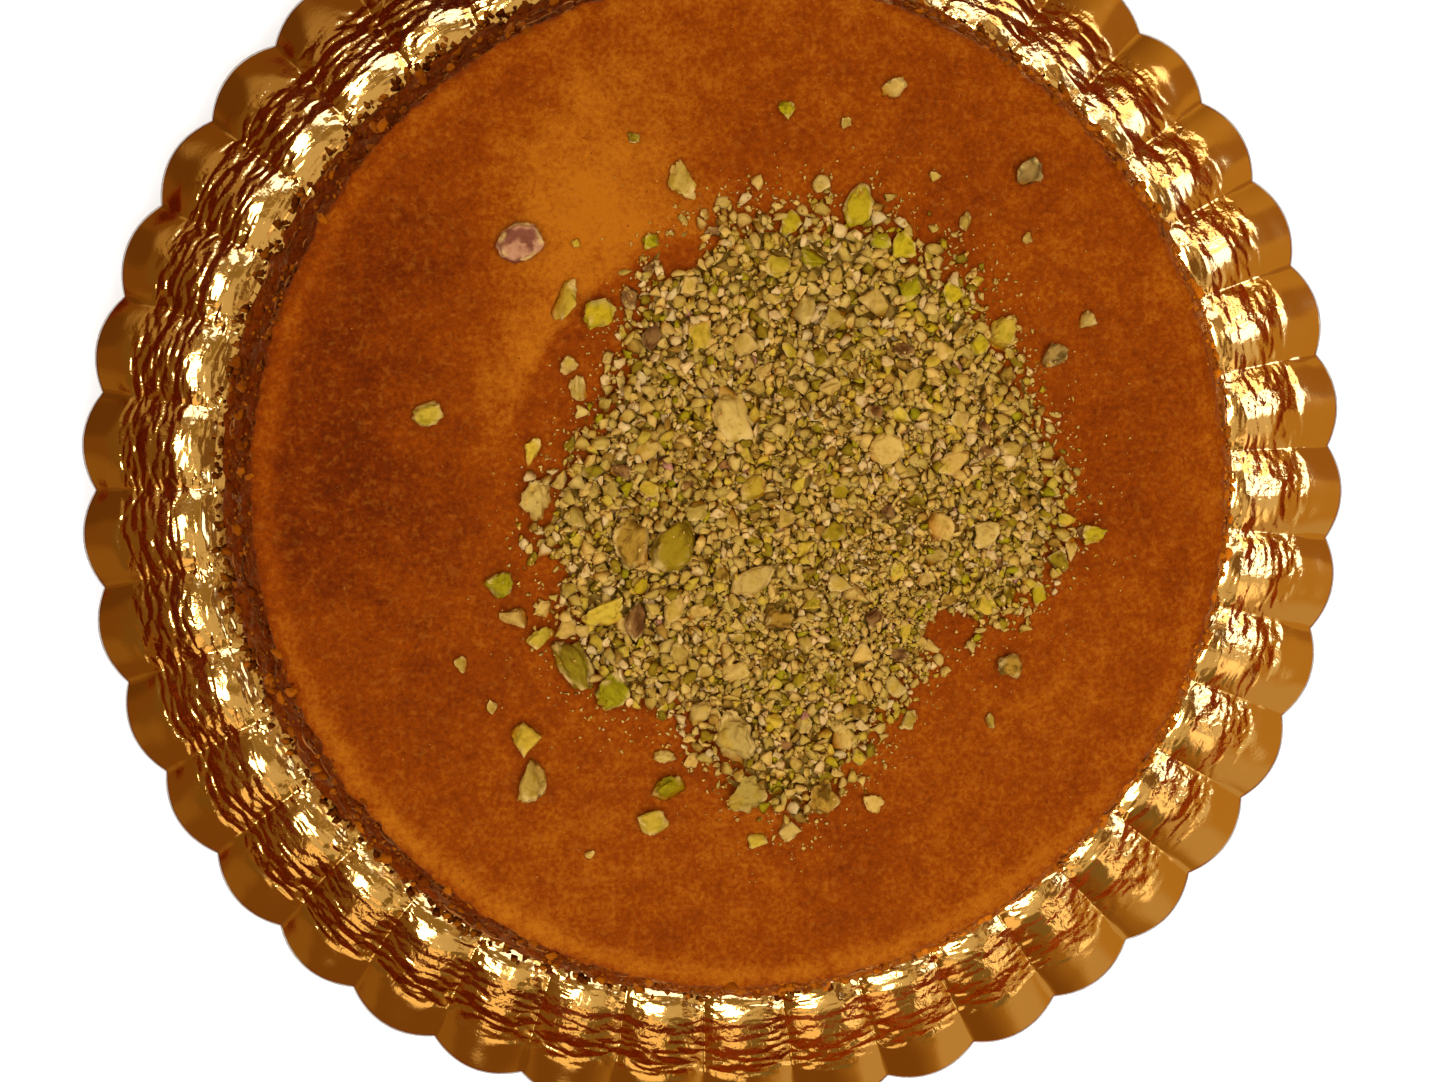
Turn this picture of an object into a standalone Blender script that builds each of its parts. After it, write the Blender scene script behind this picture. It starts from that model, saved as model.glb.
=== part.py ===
"""A round cheese kunafa on its scalloped gold-foil card tray, with a heap of chopped pistachios.

Three solids: the pressed card tray, the semolina-crusted cake with the nut pieces that lie loose on
it, and the heap of chopped nuts. Metres, +Z up, the origin on the tray's underside at its centre.
"""

import math
import random

import bmesh
import bpy
from mathutils import Matrix, Vector, noise

MM = 0.001
GAP = 0.3 * MM  # between pieces that touch
TOUCHING = 0.001 * MM
STRAIGHT = math.radians(1.0)
SHARP = math.radians(35.0)

# The card tray: a flat floor, a fluted wall and a smooth lip, pressed from one sheet.
TRAY_RADIUS = 150.0 * MM  # to the crest of a lobe
LIP_INNER_RADIUS = 143.0 * MM
WALL_INNER_RADIUS = 131.0 * MM
FLOOR_RADIUS = 124.5 * MM
TRAY_HEIGHT = 14.0 * MM
LIP_INNER_HEIGHT = 9.2 * MM
WALL_INNER_HEIGHT = 2.0 * MM
FLOOR_BEND_LIFT = 0.35 * MM  # midway along the shallow band next to the floor
WALL_BOW = -0.3 * MM  # midway up the wall, which is hollow
CARD_THICKNESS = 1.2 * MM
LOBES = 41
STEPS_PER_LOBE = 5
LOBE_DEPTH = 3.3 * MM  # from the crest of a lobe to the notch beside it
FIRST_CREASE = math.radians(4.1)
FLUTE_RISE = 0.6  # power of the ramp that deepens the flutes from the floor to the lip

# The cake: turned out of a flared pan, so that it narrows towards its top.
CAKE_CENTRE = Vector((2.9 * MM, 0.7 * MM, 0.0))
CAKE_TOP = 25.0 * MM
CAKE_BOTTOM = CARD_THICKNESS + GAP
BASE_RADII = (122.5 * MM, 124.4 * MM)
CRUST_RADII = (113.7 * MM, 116.8 * MM)
TOP_RING_INSETS = (70.0 * MM, 30.0 * MM)
SHOULDER_INSET = 4.0 * MM
SHOULDER_DROP = 1.0 * MM
SHOULDER_START_SHARE = 0.2  # of the drop, already at the shoulder's inner edge
FOOT_HEIGHT = 3.2 * MM
FOOT_TUCK = 2.0 * MM
CAKE_STEPS = 90
WALL_RINGS = 4

# The crumbly wall: coarse crags with finer ones on them, bitten in more than they stand out.
CRAG_DEPTH = 0.9 * MM
CRAG_SPACING = 7.0 * MM
COARSE_CRAGS = 1.6
FINE_CRAGS = 0.7
FINE_CRAG_RATE = 2.3
CRAG_SET_BACK = 0.5

# The heap of chopped nuts: a low mound lying on the cake.
HEAP_CENTRE = Vector((15.0 * MM, -6.0 * MM, 0.0))
HEAP_BOTTOM = CAKE_TOP + GAP
HEAP_EDGE_HEIGHT = 1.1 * MM
HEAP_HEIGHT = 4.2 * MM
HEAP_LUMPS = 0.7 * MM
HEAP_LUMP_SPACING = 11.0 * MM
HEAP_STEPS = 48
HEAP_RINGS = (1.0, 0.88, 0.66, 0.4, 0.17)  # shares of the reach
# Reach of the mound from its centre, in millimetres, every 15 degrees from +X round through +Y.
HEAP_REACH = (
    64, 61, 61, 67, 68, 70, 73, 68,
    62, 56, 52, 56, 62, 61, 60, 58,
    57, 64, 66, 53, 46, 46, 54, 60,
)

# Chopped pieces: few-sided lumps with their points pushed about.
SEED = 41
LUMP_SWELL = 1.12  # makes up for the flat sides
LUMP_PUSH = 0.07  # share of a piece's size
LUMP_TILT = 14.0  # degrees either way
LARGE_LUMP = 7.0 * MM  # from this length on, a piece has more sides
LARGE_LUMP_SIDES = (6, 4)
SMALL_LUMP_SIDES = (5, 3)
NUT_HEIGHT_SHARE = 0.62  # of a piece's width
LOOSE_NUT_LIFT = 0.28  # middle of a piece over what carries it, as a share of its height
HEAP_NUT_LIFT = 0.12
CLEAR_OF_CAKE = HEAP_BOTTOM + 0.12 * MM  # no piece of the heap reaches lower

# Further pieces of the heap, strewn by a seeded draw.
STREWN_COUNT = 78
STREWN_SPACING = 6.0 * MM
STREWN_LENGTHS = (3.6 * MM, 5.4 * MM)
STREWN_WIDTH_SHARES = (0.65, 0.95)
STREWN_HEIGHT_SHARE = 0.75
STREWN_LIFT = 0.1
MOST_DRAWS = 20000

# Larger nut pieces in the heap: x, y, length, width in millimetres, turn in degrees.
HEAP_NUTS = (
    (-2, 18, 14, 10, 115), (34, 10, 8.5, 8, 20), (50, 7, 9.5, 5.5, 30), (47, -8, 7, 6, 150),
    (58, -10, 7, 6, 80), (64, 10, 6, 5, 10), (-25, -11, 12, 9, 90), (-15, -12, 14, 10, 60),
    (3, -20, 12, 6.5, 35), (-15, -26, 9, 4.5, 70), (-31, -27, 9.5, 8, 170), (-24, -29, 10, 5.5, 80),
    (-40, -31, 6, 5, 20), (-45, -2, 11, 8.5, 100), (-38, -39, 13, 8, 120), (-29, -46, 9, 8, 45),
    (-1, -41, 6.5, 5, 20), (-14, -37, 6.5, 4.5, 125), (-9, -51, 7, 5.5, 35), (-1, -57, 14, 9, 100),
    (24, -57, 7, 5.5, 60), (3, 1, 7.5, 6, 30), (-21, 10, 7, 5.5, 15), (9, -29, 7, 6, 0),
    (27, -24, 6.5, 5, 140), (29, -38, 6, 5, 60), (2, -70, 11, 9, 20), (20, -71, 9, 8, 90),
    (12, -79, 5, 4.5, 30), (28, 66, 11, 7, 70), (38, 57, 7, 6, 110), (12, 62, 6, 5, 30),
    (9, 52, 6.5, 6, 60), (-9, 36, 8, 5.5, 95), (40, 47, 6, 5.5, 20), (17, 54, 7, 6, 160),
    (32, 43, 8, 7, 120), (15, 42, 7, 6, 45), (1, 34, 6, 5.5, 20), (21, 24, 6, 5, 10),
    (-20, 36, 8, 6, 70), (61, 36, 9, 6.5, 75), (22, -9, 6.5, 5, 30), (40, 26, 6.5, 5, 60),
)

# Nut pieces that lie loose on the cake: x, y, length, width in millimetres, turn in degrees.
LOOSE_NUTS = (
    (-50, 57, 11, 9, 20), (-40, 44, 9, 7, 100), (-32, 41, 8, 6.5, 15), (-39, 29, 4.5, 4, 60),
    (-37, 24, 6.5, 4, 100), (-13, 71.5, 9.5, 6.5, 95), (-20, 57.5, 4.5, 3.5, 30),
    (36, 93, 6.5, 4.5, 20), (11, 88, 4.5, 4, 60), (-24, 81, 3, 2.5, 0), (25, 85, 3, 2.5, 80),
    (46, 73, 3, 2.5, 0), (68, 74, 7, 6.5, 40), (68, 59, 3, 2.5, 40), (82, 40, 4.5, 4, 30),
    (74.5, 32, 6.5, 6, 0), (-71, 18, 6.5, 5, 170), (-64, -39, 4, 3, 80), (-57, -49, 3, 2.5, 60),
    (-49, -56, 7.5, 6.5, 120), (-48, -66, 10, 7.5, 95), (-16, -68.5, 8, 6.5, 170),
    (-20, -76, 6.5, 6, 30), (32, -73, 5, 4.5, 0), (60, -54, 3.5, 3, 60), (64, -41, 6, 6, 0),
    (86, -10, 6.5, 5, 10), (74, -25, 6, 4, 75), (-54.5, -20.5, 6.5, 6, 40), (-51.5, -28, 7, 5, 150),
    (-47, 9.5, 6.5, 4, 95), (-34.5, -83.5, 2.5, 2.5, 0),
)


def principled(name, color, roughness, metallic=0.0):
    """A plain Principled material."""
    material = bpy.data.materials.new(name)
    material.use_nodes = True
    shader = material.node_tree.nodes["Principled BSDF"]
    shader.inputs["Base Color"].default_value = (*color, 1.0)
    shader.inputs["Roughness"].default_value = roughness
    shader.inputs["Metallic"].default_value = metallic
    material.diffuse_color = (*color, 1.0)
    return material


def new_collection(name):
    """An empty collection in the scene, for pieces that are fused to a body."""
    collection = bpy.data.collections.new(name)
    bpy.context.scene.collection.children.link(collection)
    return collection


def link_object(name, builder, material, collection=None):
    """Turns a bmesh into an object of triangles, with its faces pointing outwards."""
    bmesh.ops.recalc_face_normals(builder, faces=builder.faces)
    bmesh.ops.triangulate(builder, faces=builder.faces)
    mesh = bpy.data.meshes.new(name)
    builder.to_mesh(mesh)
    builder.free()
    mesh.materials.append(material)
    obj = bpy.data.objects.new(name, mesh)
    (collection or bpy.context.scene.collection).objects.link(obj)
    return obj


def shade_round(obj):
    """Smooth shading, with the real edges kept sharp."""
    obj.data.shade_smooth()
    obj.data.set_sharp_from_angle(angle=SHARP)


def turn_profile(profile, steps):
    """Spins a profile of (radius, height) points, whose ends are on the axis, about Z."""
    builder = bmesh.new()
    points = [builder.verts.new((radius, 0.0, height)) for radius, height in profile]
    edges = [builder.edges.new(pair) for pair in zip(points, points[1:])]
    bmesh.ops.spin(
        builder, geom=points + edges, cent=(0, 0, 0), axis=(0, 0, 1),
        angle=math.tau, steps=steps, use_merge=True,
    )
    bmesh.ops.remove_doubles(builder, verts=builder.verts, dist=TOUCHING)
    return builder


def tray_face_profile():
    """The foil face of the tray from its floor to its edge, as (radius, height)."""
    wall_mid = 0.5 * (WALL_INNER_RADIUS + LIP_INNER_RADIUS)
    wall_mid_height = 0.5 * (WALL_INNER_HEIGHT + LIP_INNER_HEIGHT)
    return [
        (FLOOR_RADIUS, CARD_THICKNESS),
        (0.5 * (FLOOR_RADIUS + WALL_INNER_RADIUS), CARD_THICKNESS + FLOOR_BEND_LIFT),
        (WALL_INNER_RADIUS, WALL_INNER_HEIGHT),
        (wall_mid, wall_mid_height + WALL_BOW),
        (LIP_INNER_RADIUS, LIP_INNER_HEIGHT),
        (TRAY_RADIUS, TRAY_HEIGHT),
    ]


def card_underside(face):
    """The underside of the card: the face moved in by the card's thickness across it."""
    under = []
    last = len(face) - 1
    for index, (radius, height) in enumerate(face):
        before = face[max(index - 1, 0)]
        after = face[min(index + 1, last)]
        run = Vector((after[0] - before[0], after[1] - before[1])).normalized()
        if index == 0:
            run = Vector((1.0, 0.0))
        under.append((radius + run.y * CARD_THICKNESS, height - run.x * CARD_THICKNESS))
    return under


def flute(point):
    """Pulls a point of the turned tray in towards the creases between the lobes."""
    radius = math.hypot(point.x, point.y)
    if radius <= FLOOR_RADIUS + TOUCHING:
        return point
    angle = math.atan2(point.y, point.x)
    place = ((angle - FIRST_CREASE) * LOBES / math.tau) % 1.0
    bulge = 4.0 * place * (1.0 - place)
    ramp = min(1.0, (radius - FLOOR_RADIUS) / (TRAY_RADIUS - FLOOR_RADIUS)) ** FLUTE_RISE
    radius -= LOBE_DEPTH * ramp * (1.0 - bulge)
    return Vector((radius * math.cos(angle), radius * math.sin(angle), point.z))


def build_tray(material):
    """The pressed card tray: floor, fluted wall and lip, one sheet thick."""
    face = tray_face_profile()
    under = card_underside(face)
    # The underside's last point goes below the edge, so that the cut edge stands upright.
    under[-1] = (TRAY_RADIUS, TRAY_HEIGHT - CARD_THICKNESS)
    profile = [(0.0, CARD_THICKNESS)] + face + under[::-1] + [(0.0, 0.0)]
    builder = turn_profile(profile, LOBES * STEPS_PER_LOBE)
    # Turned by the first crease, so that each crease has a row of points of its own.
    bmesh.ops.rotate(
        builder, verts=builder.verts, cent=(0, 0, 0), matrix=Matrix.Rotation(FIRST_CREASE, 3, "Z")
    )
    for vertex in builder.verts:
        vertex.co = flute(vertex.co)
    tray = link_object("tray", builder, material)
    shade_round(tray)
    return tray


def crag(point):
    """How far the crumbly wall stands out or in at a point, from -1 to 1."""
    place = Vector(point) / CRAG_SPACING
    height = COARSE_CRAGS * noise.noise(place) + FINE_CRAGS * noise.noise(place * FINE_CRAG_RATE)
    return max(-1.0, min(1.0, height))


def cake_profile():
    """The cake's outline as (share of the crust ellipse to the base ellipse, inset, height)."""
    rings = [(0.0, inset, CAKE_TOP) for inset in TOP_RING_INSETS]
    rings.append((0.0, SHOULDER_INSET, CAKE_TOP - SHOULDER_START_SHARE * SHOULDER_DROP))
    wall_top = CAKE_TOP - SHOULDER_DROP
    wall_foot = CAKE_BOTTOM + FOOT_HEIGHT
    for ring in range(WALL_RINGS + 1):
        share = ring / WALL_RINGS
        rings.append((share, 0.0, wall_top + share * (wall_foot - wall_top)))
    rings.append((1.0, FOOT_TUCK, CAKE_BOTTOM))
    return rings


def build_cake_body(material):
    """The cake without its loose nuts: a crusted top, a soft shoulder and a crumbly wall."""
    builder = bmesh.new()
    loops = []
    for share, inset, height in cake_profile():
        semi_x = (1 - share) * CRUST_RADII[0] + share * BASE_RADII[0] - inset
        semi_y = (1 - share) * CRUST_RADII[1] + share * BASE_RADII[1] - inset
        on_wall = share > 0.0 and inset == 0.0
        loop = []
        for step in range(CAKE_STEPS):
            angle = math.tau * step / CAKE_STEPS
            around = Vector((semi_x * math.cos(angle), semi_y * math.sin(angle), height))
            if on_wall:
                outwards = Vector((math.cos(angle), math.sin(angle), 0.0))
                around += outwards * CRAG_DEPTH * (crag(around) - CRAG_SET_BACK)
            loop.append(builder.verts.new(around + CAKE_CENTRE))
        loops.append(loop)
    for upper, lower in zip(loops, loops[1:]):
        for step in range(CAKE_STEPS):
            after = (step + 1) % CAKE_STEPS
            builder.faces.new((upper[step], lower[step], lower[after], upper[after]))
    for rim, height in ((loops[0], CAKE_TOP), (loops[-1], CAKE_BOTTOM)):
        middle = builder.verts.new(CAKE_CENTRE + Vector((0.0, 0.0, height)))
        for step in range(CAKE_STEPS):
            builder.faces.new((middle, rim[step], rim[(step + 1) % CAKE_STEPS]))
    return link_object("kunafa", builder, material)


def heap_reach(angle):
    """The mound's reach from its centre at an angle, on a smooth closed curve."""
    count = len(HEAP_REACH)
    place = (angle % math.tau) / math.tau * count
    index = int(place)
    share = place - index
    a, b, c, d = (HEAP_REACH[(index + offset) % count] for offset in (-1, 0, 1, 2))
    curve = b + 0.5 * share * (
        c - a + share * (2 * a - 5 * b + 4 * c - d + share * (3 * (b - c) + d - a))
    )
    return curve * MM


def on_heap(angle, share):
    """The point of the cake's top at an angle from the heap's centre and a share of the reach."""
    reach = heap_reach(angle) * share
    return HEAP_CENTRE + Vector((reach * math.cos(angle), reach * math.sin(angle), 0.0))


def heap_surface(place):
    """Height of the mound's own surface over a point of the cake, without its nut pieces."""
    offset = Vector((place.x - HEAP_CENTRE.x, place.y - HEAP_CENTRE.y, 0.0))
    share = min(1.0, offset.length / heap_reach(math.atan2(offset.y, offset.x)))
    body = HEAP_EDGE_HEIGHT + (HEAP_HEIGHT - HEAP_EDGE_HEIGHT) * (1.0 - share**3)
    lumps = HEAP_LUMPS * noise.noise(Vector((place.x, place.y, 0.0)) / HEAP_LUMP_SPACING)
    return HEAP_BOTTOM + body + lumps * (1.0 - share**6)


def build_heap_core(material):
    """The mound that carries the nut pieces, flat beneath and uneven above."""
    builder = bmesh.new()
    loops = []
    for share in HEAP_RINGS:
        places = [on_heap(math.tau * step / HEAP_STEPS, share) for step in range(HEAP_STEPS)]
        loops.append([builder.verts.new((p.x, p.y, heap_surface(p))) for p in places])
    floor = [builder.verts.new((v.co.x, v.co.y, HEAP_BOTTOM)) for v in loops[0]]
    loops.insert(0, floor)
    for lower, upper in zip(loops, loops[1:]):
        for step in range(HEAP_STEPS):
            after = (step + 1) % HEAP_STEPS
            builder.faces.new((lower[step], lower[after], upper[after], upper[step]))
    summit = builder.verts.new((HEAP_CENTRE.x, HEAP_CENTRE.y, heap_surface(HEAP_CENTRE)))
    base = builder.verts.new((HEAP_CENTRE.x, HEAP_CENTRE.y, HEAP_BOTTOM))
    for step in range(HEAP_STEPS):
        after = (step + 1) % HEAP_STEPS
        builder.faces.new((summit, loops[-1][step], loops[-1][after]))
        builder.faces.new((base, floor[after], floor[step]))
    return link_object("pistachio_heap", builder, material)


def add_lump(name, place, size, turn, rng, collection, material, floor=0.0):
    """A chopped nut piece of few sides, its points pushed about by the seeded draw."""
    builder = bmesh.new()
    segments, rings = LARGE_LUMP_SIDES if size[0] > LARGE_LUMP else SMALL_LUMP_SIDES
    bmesh.ops.create_uvsphere(builder, u_segments=segments, v_segments=rings, radius=0.5)
    tilt = Matrix.Rotation(math.radians(rng.uniform(-LUMP_TILT, LUMP_TILT)), 3, "X")
    heading = Matrix.Rotation(math.radians(turn), 3, "Z")
    for vertex in builder.verts:
        push = Vector([rng.uniform(-LUMP_PUSH, LUMP_PUSH) for _ in range(3)])
        body = vertex.co * LUMP_SWELL + push
        body = Vector((body.x * size[0], body.y * size[1], body.z * size[2]))
        vertex.co = heading @ (tilt @ body) + place
        vertex.co.z = max(vertex.co.z, floor)
    return link_object(name, builder, material, collection)


def dissolve_straight_points(builder):
    """Removes points that only split a straight edge in two."""
    straight = []
    for vertex in builder.verts:
        if len(vertex.link_edges) == 2:
            one, two = (edge.other_vert(vertex).co - vertex.co for edge in vertex.link_edges)
            if one.length < TOUCHING or two.length < TOUCHING or one.angle(-two) < STRAIGHT:
                straight.append(vertex)
    bmesh.ops.dissolve_verts(builder, verts=straight)


def shells_of(builder):
    """The mesh's separate shells, each a set of points, the one with most points first."""
    left = set(builder.verts)
    shells = []
    while left:
        shell = set()
        front = [left.pop()]
        while front:
            vertex = front.pop()
            shell.add(vertex)
            fresh = {edge.other_vert(vertex) for edge in vertex.link_edges} & left
            left -= fresh
            front.extend(fresh)
        shells.append(shell)
    return sorted(shells, key=len, reverse=True)


def keep_largest_shell(mesh):
    """Drops loose scraps and the walls of hollows that fusing has sealed."""
    builder = bmesh.new()
    builder.from_mesh(mesh)
    dissolve_straight_points(builder)
    bmesh.ops.triangulate(builder, faces=builder.faces)
    scraps = [vertex for shell in shells_of(builder)[1:] for vertex in shell]
    bmesh.ops.delete(builder, geom=scraps, context="VERTS")
    builder.to_mesh(mesh)
    builder.free()


def fuse(body, pieces):
    """Unites a body with every object of a collection, then removes those objects."""
    union = body.modifiers.new("fused pieces", "BOOLEAN")
    union.operation = "UNION"
    union.operand_type = "COLLECTION"
    union.collection = pieces
    bpy.context.view_layer.update()
    bpy.context.view_layer.objects.active = body
    bpy.ops.object.modifier_apply(modifier=union.name)
    for piece in list(pieces.objects):
        bpy.data.objects.remove(piece, do_unlink=True)
    bpy.data.collections.remove(pieces)
    keep_largest_shell(body.data)
    shade_round(body)


def build_kunafa(material, nut_material):
    """The cake with the nut pieces that lie loose on it fused to its crust."""
    cake = build_cake_body(material)
    rng = random.Random(SEED)
    pieces = new_collection("loose nuts")
    for index, (x, y, length, width, turn) in enumerate(LOOSE_NUTS):
        height = NUT_HEIGHT_SHARE * width * MM
        place = Vector((x * MM, y * MM, CAKE_TOP + LOOSE_NUT_LIFT * height))
        size = (length * MM, width * MM, height)
        add_lump(f"loose_{index}", place, size, turn, rng, pieces, nut_material)
    fuse(cake, pieces)
    return cake


def strewn_places(rng, taken):
    """Seeded places for further pieces over the mound, clear of the larger ones."""
    places = []
    draws = 0
    while len(places) < STREWN_COUNT and draws < MOST_DRAWS:
        draws += 1
        angle = rng.uniform(0.0, math.tau)
        place = on_heap(angle, math.sqrt(rng.random()))
        if all((place - other).length > STREWN_SPACING for other in taken + places):
            places.append(place)
    return places


def build_heap(material):
    """The heap: its mound with the larger chopped pieces fused on."""
    heap = build_heap_core(material)
    rng = random.Random(SEED + 1)
    pieces = new_collection("heap nuts")
    taken = []
    for index, (x, y, length, width, turn) in enumerate(HEAP_NUTS):
        height = NUT_HEIGHT_SHARE * width * MM
        place = Vector((x * MM, y * MM, 0.0))
        taken.append(place.copy())
        place.z = heap_surface(place) + HEAP_NUT_LIFT * height
        size = (length * MM, width * MM, height)
        add_lump(f"nut_{index}", place, size, turn, rng, pieces, material, CLEAR_OF_CAKE)
    for index, place in enumerate(strewn_places(rng, taken)):
        length = rng.uniform(*STREWN_LENGTHS)
        width = length * rng.uniform(*STREWN_WIDTH_SHARES)
        height = STREWN_HEIGHT_SHARE * width
        place.z = heap_surface(place) + STREWN_LIFT * height
        turn = rng.uniform(0.0, 180.0)
        size = (length, width, height)
        add_lump(f"strewn_{index}", place, size, turn, rng, pieces, material, CLEAR_OF_CAKE)
    fuse(heap, pieces)
    return heap


def main():
    """Clears the scene and builds the three pieces under one empty."""
    for obj in list(bpy.data.objects):
        bpy.data.objects.remove(obj, do_unlink=True)
    foil = principled("gold foil card", (0.80, 0.50, 0.16), 0.22, 1.0)
    crust = principled("semolina crust", (0.36, 0.085, 0.010), 0.55)
    nuts = principled("chopped pistachio", (0.42, 0.34, 0.09), 0.6)
    root = bpy.data.objects.new("cheese kunafa", None)
    bpy.context.scene.collection.objects.link(root)
    for piece in (build_tray(foil), build_kunafa(crust, nuts), build_heap(nuts)):
        piece.parent = root


main()
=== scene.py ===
"""Looks of a cheese kunafa with chopped pistachios on its fluted gold-foil tray.

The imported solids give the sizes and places. This script dresses them: a pressed foil tray with its
embossed wall, a semolina crust with a crumbly wall, and a heap of chopped pistachios made of real
pieces. Lengths are in millimetres until a mesh is written, which is in metres.
"""

import itertools
import logging
import math
from collections.abc import Iterable
from dataclasses import dataclass, field
from enum import Enum

import bmesh
import bpy
import numpy as np
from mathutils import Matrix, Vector


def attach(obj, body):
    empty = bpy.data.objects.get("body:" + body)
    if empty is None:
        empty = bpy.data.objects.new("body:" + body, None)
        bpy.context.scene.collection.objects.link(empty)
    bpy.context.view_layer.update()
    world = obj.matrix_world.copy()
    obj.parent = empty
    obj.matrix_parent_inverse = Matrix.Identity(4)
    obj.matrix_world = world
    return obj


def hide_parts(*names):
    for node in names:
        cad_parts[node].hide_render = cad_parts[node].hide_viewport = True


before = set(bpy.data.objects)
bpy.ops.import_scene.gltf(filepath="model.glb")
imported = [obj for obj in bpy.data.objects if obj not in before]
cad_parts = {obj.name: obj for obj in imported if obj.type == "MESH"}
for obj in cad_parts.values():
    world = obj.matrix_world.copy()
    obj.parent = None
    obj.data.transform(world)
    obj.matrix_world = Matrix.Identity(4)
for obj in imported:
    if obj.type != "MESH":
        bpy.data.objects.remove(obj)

MM = 0.001
SEED = 7303
log = logging.getLogger("kunafa")

Array = np.ndarray
Form = tuple[Array, Array]
Material = bpy.types.Material
Object = bpy.types.Object
Colour = tuple[float, float, float]
Span = tuple[float, float]
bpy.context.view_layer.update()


# ---- shared maths and meshes


def smoothstep(low: float, high: float, values: Array) -> Array:
    """Eases from 0 where values are low to 1 where they are high."""
    share = np.clip((values - low) / (high - low), 0.0, 1.0)
    return share * share * (3.0 - 2.0 * share)


def between(rise: Span, fall: Span, values: Array) -> Array:
    """Weight of a zone, which eases in over one span of the values and out over another."""
    return smoothstep(*rise, values) * (1.0 - smoothstep(*fall, values))


def lattice_noise(points: Array, seed: int) -> Array:
    """Smooth gradient noise of unit wavelength.

    Args:
        points: Places in the noise, one row of x, y, z each.
        seed: Picks one of many noises.

    Returns:
        A value from about -1 to 1 for each row.
    """
    points = np.asarray(points, float)
    base = np.floor(points).astype(np.int64)
    part = points - base
    fade = part**3 * (part * (part * 6.0 - 15.0) + 10.0)
    total = np.zeros(len(points))
    for corner in itertools.product((0, 1), repeat=3):
        node = base + corner
        code = (node[:, 0] * 73856093) ^ (node[:, 1] * 19349663) ^ (node[:, 2] * 83492791)
        code = (code ^ (seed * 2654435761)) & 0xFFFFFFFF
        code = ((code ^ (code >> 15)) * 2246822519) & 0xFFFFFFFF
        code = ((code ^ (code >> 13)) * 3266489917) & 0xFFFFFFFF
        code ^= code >> 16
        slope = np.stack([(code >> shift) & 1023 for shift in (0, 10, 20)], axis=1) / 511.5 - 1.0
        weight = np.prod(np.where(np.array(corner) == 1, fade, 1.0 - fade), axis=1)
        total += weight * np.sum(slope * (part - corner), axis=1)
    return 1.4 * total


def layered_noise(points: Array, seed: int, layers: int = 3) -> Array:
    """Gradient noise with ever finer and weaker layers, about -1 to 1 for each row of points."""
    return sum(0.5**k * lattice_noise(points * 2.0**k, seed + k) for k in range(layers))


@dataclass(frozen=True)
class Wave:
    """One noise over a surface.

    Attributes:
        height: How far it rises and falls, in millimetres.
        spread: Its wavelength, or one for each axis.
        seed: Picks one of many noises.
        layers: How many ever finer layers it has.
    """

    height: float
    spread: float | tuple[float, float, float]
    seed: int
    layers: int = 1

    def at(self, points: Array) -> Array:
        """Its height at places, one row each."""
        return self.height * layered_noise(points / self.spread, self.seed, self.layers)


def flat(x: Array, y: Array) -> Array:
    """Rows of noise places for points of a plane."""
    return np.stack([x, y, np.zeros_like(x)], axis=1)


@dataclass(frozen=True)
class Shades:
    """Colours from a dark to a pale one."""

    dark: Colour
    pale: Colour

    def rows(self, shares: Array) -> Array:
        """The colour at each share of the way, one row each."""
        dark, pale = np.array(self.dark), np.array(self.pale)
        return dark + shares[:, None] * (pale - dark)


def strip_faces(rows: int, columns: int, start: int = 0) -> Array:
    """Faces of a closed band of point rings.

    Args:
        rows: Number of rings, one after the other in the point list.
        columns: Points in each ring.
        start: Index of the first point.

    Returns:
        Quads as rows of four indices.
    """
    row, column = np.meshgrid(np.arange(rows - 1), np.arange(columns), indexing="ij")
    after = (column + 1) % columns
    corners = [row * columns + column, (row + 1) * columns + column]
    corners += [(row + 1) * columns + after, row * columns + after]
    return start + np.stack([c.ravel() for c in corners], axis=1)


def fan_faces(middle: int, ring: Array) -> Array:
    """Triangles from a middle point to a ring of points, in the ring's order."""
    return np.stack([np.full(len(ring), middle), ring, np.roll(ring, -1)], axis=1)


def mesh_object(
    name: str,
    points: Array,
    faces: list[Array],
    finishes: list[Material],
    face_finish: Array | None = None,
    smooth: bool = True,
) -> Object:
    """Makes an object from arrays.

    Args:
        name: Name of the piece.
        points: Points in millimetres, one row each.
        faces: Arrays of faces, each with one number of corners.
        finishes: The object's materials.
        face_finish: Index of each face's material, or None for the first.
        smooth: Whether the faces are shaded smooth.

    Returns:
        The new object, linked to the scene.
    """
    corners = np.concatenate([group.ravel() for group in faces]).astype(np.int32)
    sizes = np.concatenate([np.full(len(group), group.shape[1]) for group in faces])
    starts = np.concatenate([[0], np.cumsum(sizes)[:-1]])
    mesh = bpy.data.meshes.new(name)
    mesh.vertices.add(len(points))
    mesh.vertices.foreach_set("co", (np.asarray(points) * MM).astype(np.float32).ravel())
    mesh.loops.add(len(corners))
    mesh.loops.foreach_set("vertex_index", corners)
    mesh.polygons.add(len(sizes))
    mesh.polygons.foreach_set("loop_start", starts.astype(np.int32))
    if face_finish is not None:
        mesh.polygons.foreach_set("material_index", np.asarray(face_finish, np.int32))
    for finish in finishes:
        mesh.materials.append(finish)
    mesh.update(calc_edges=True)
    mesh.validate()
    mesh.polygons.foreach_set("use_smooth", np.full(len(mesh.polygons), smooth))
    obj = bpy.data.objects.new(name, mesh)
    bpy.context.scene.collection.objects.link(obj)
    return obj


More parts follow.
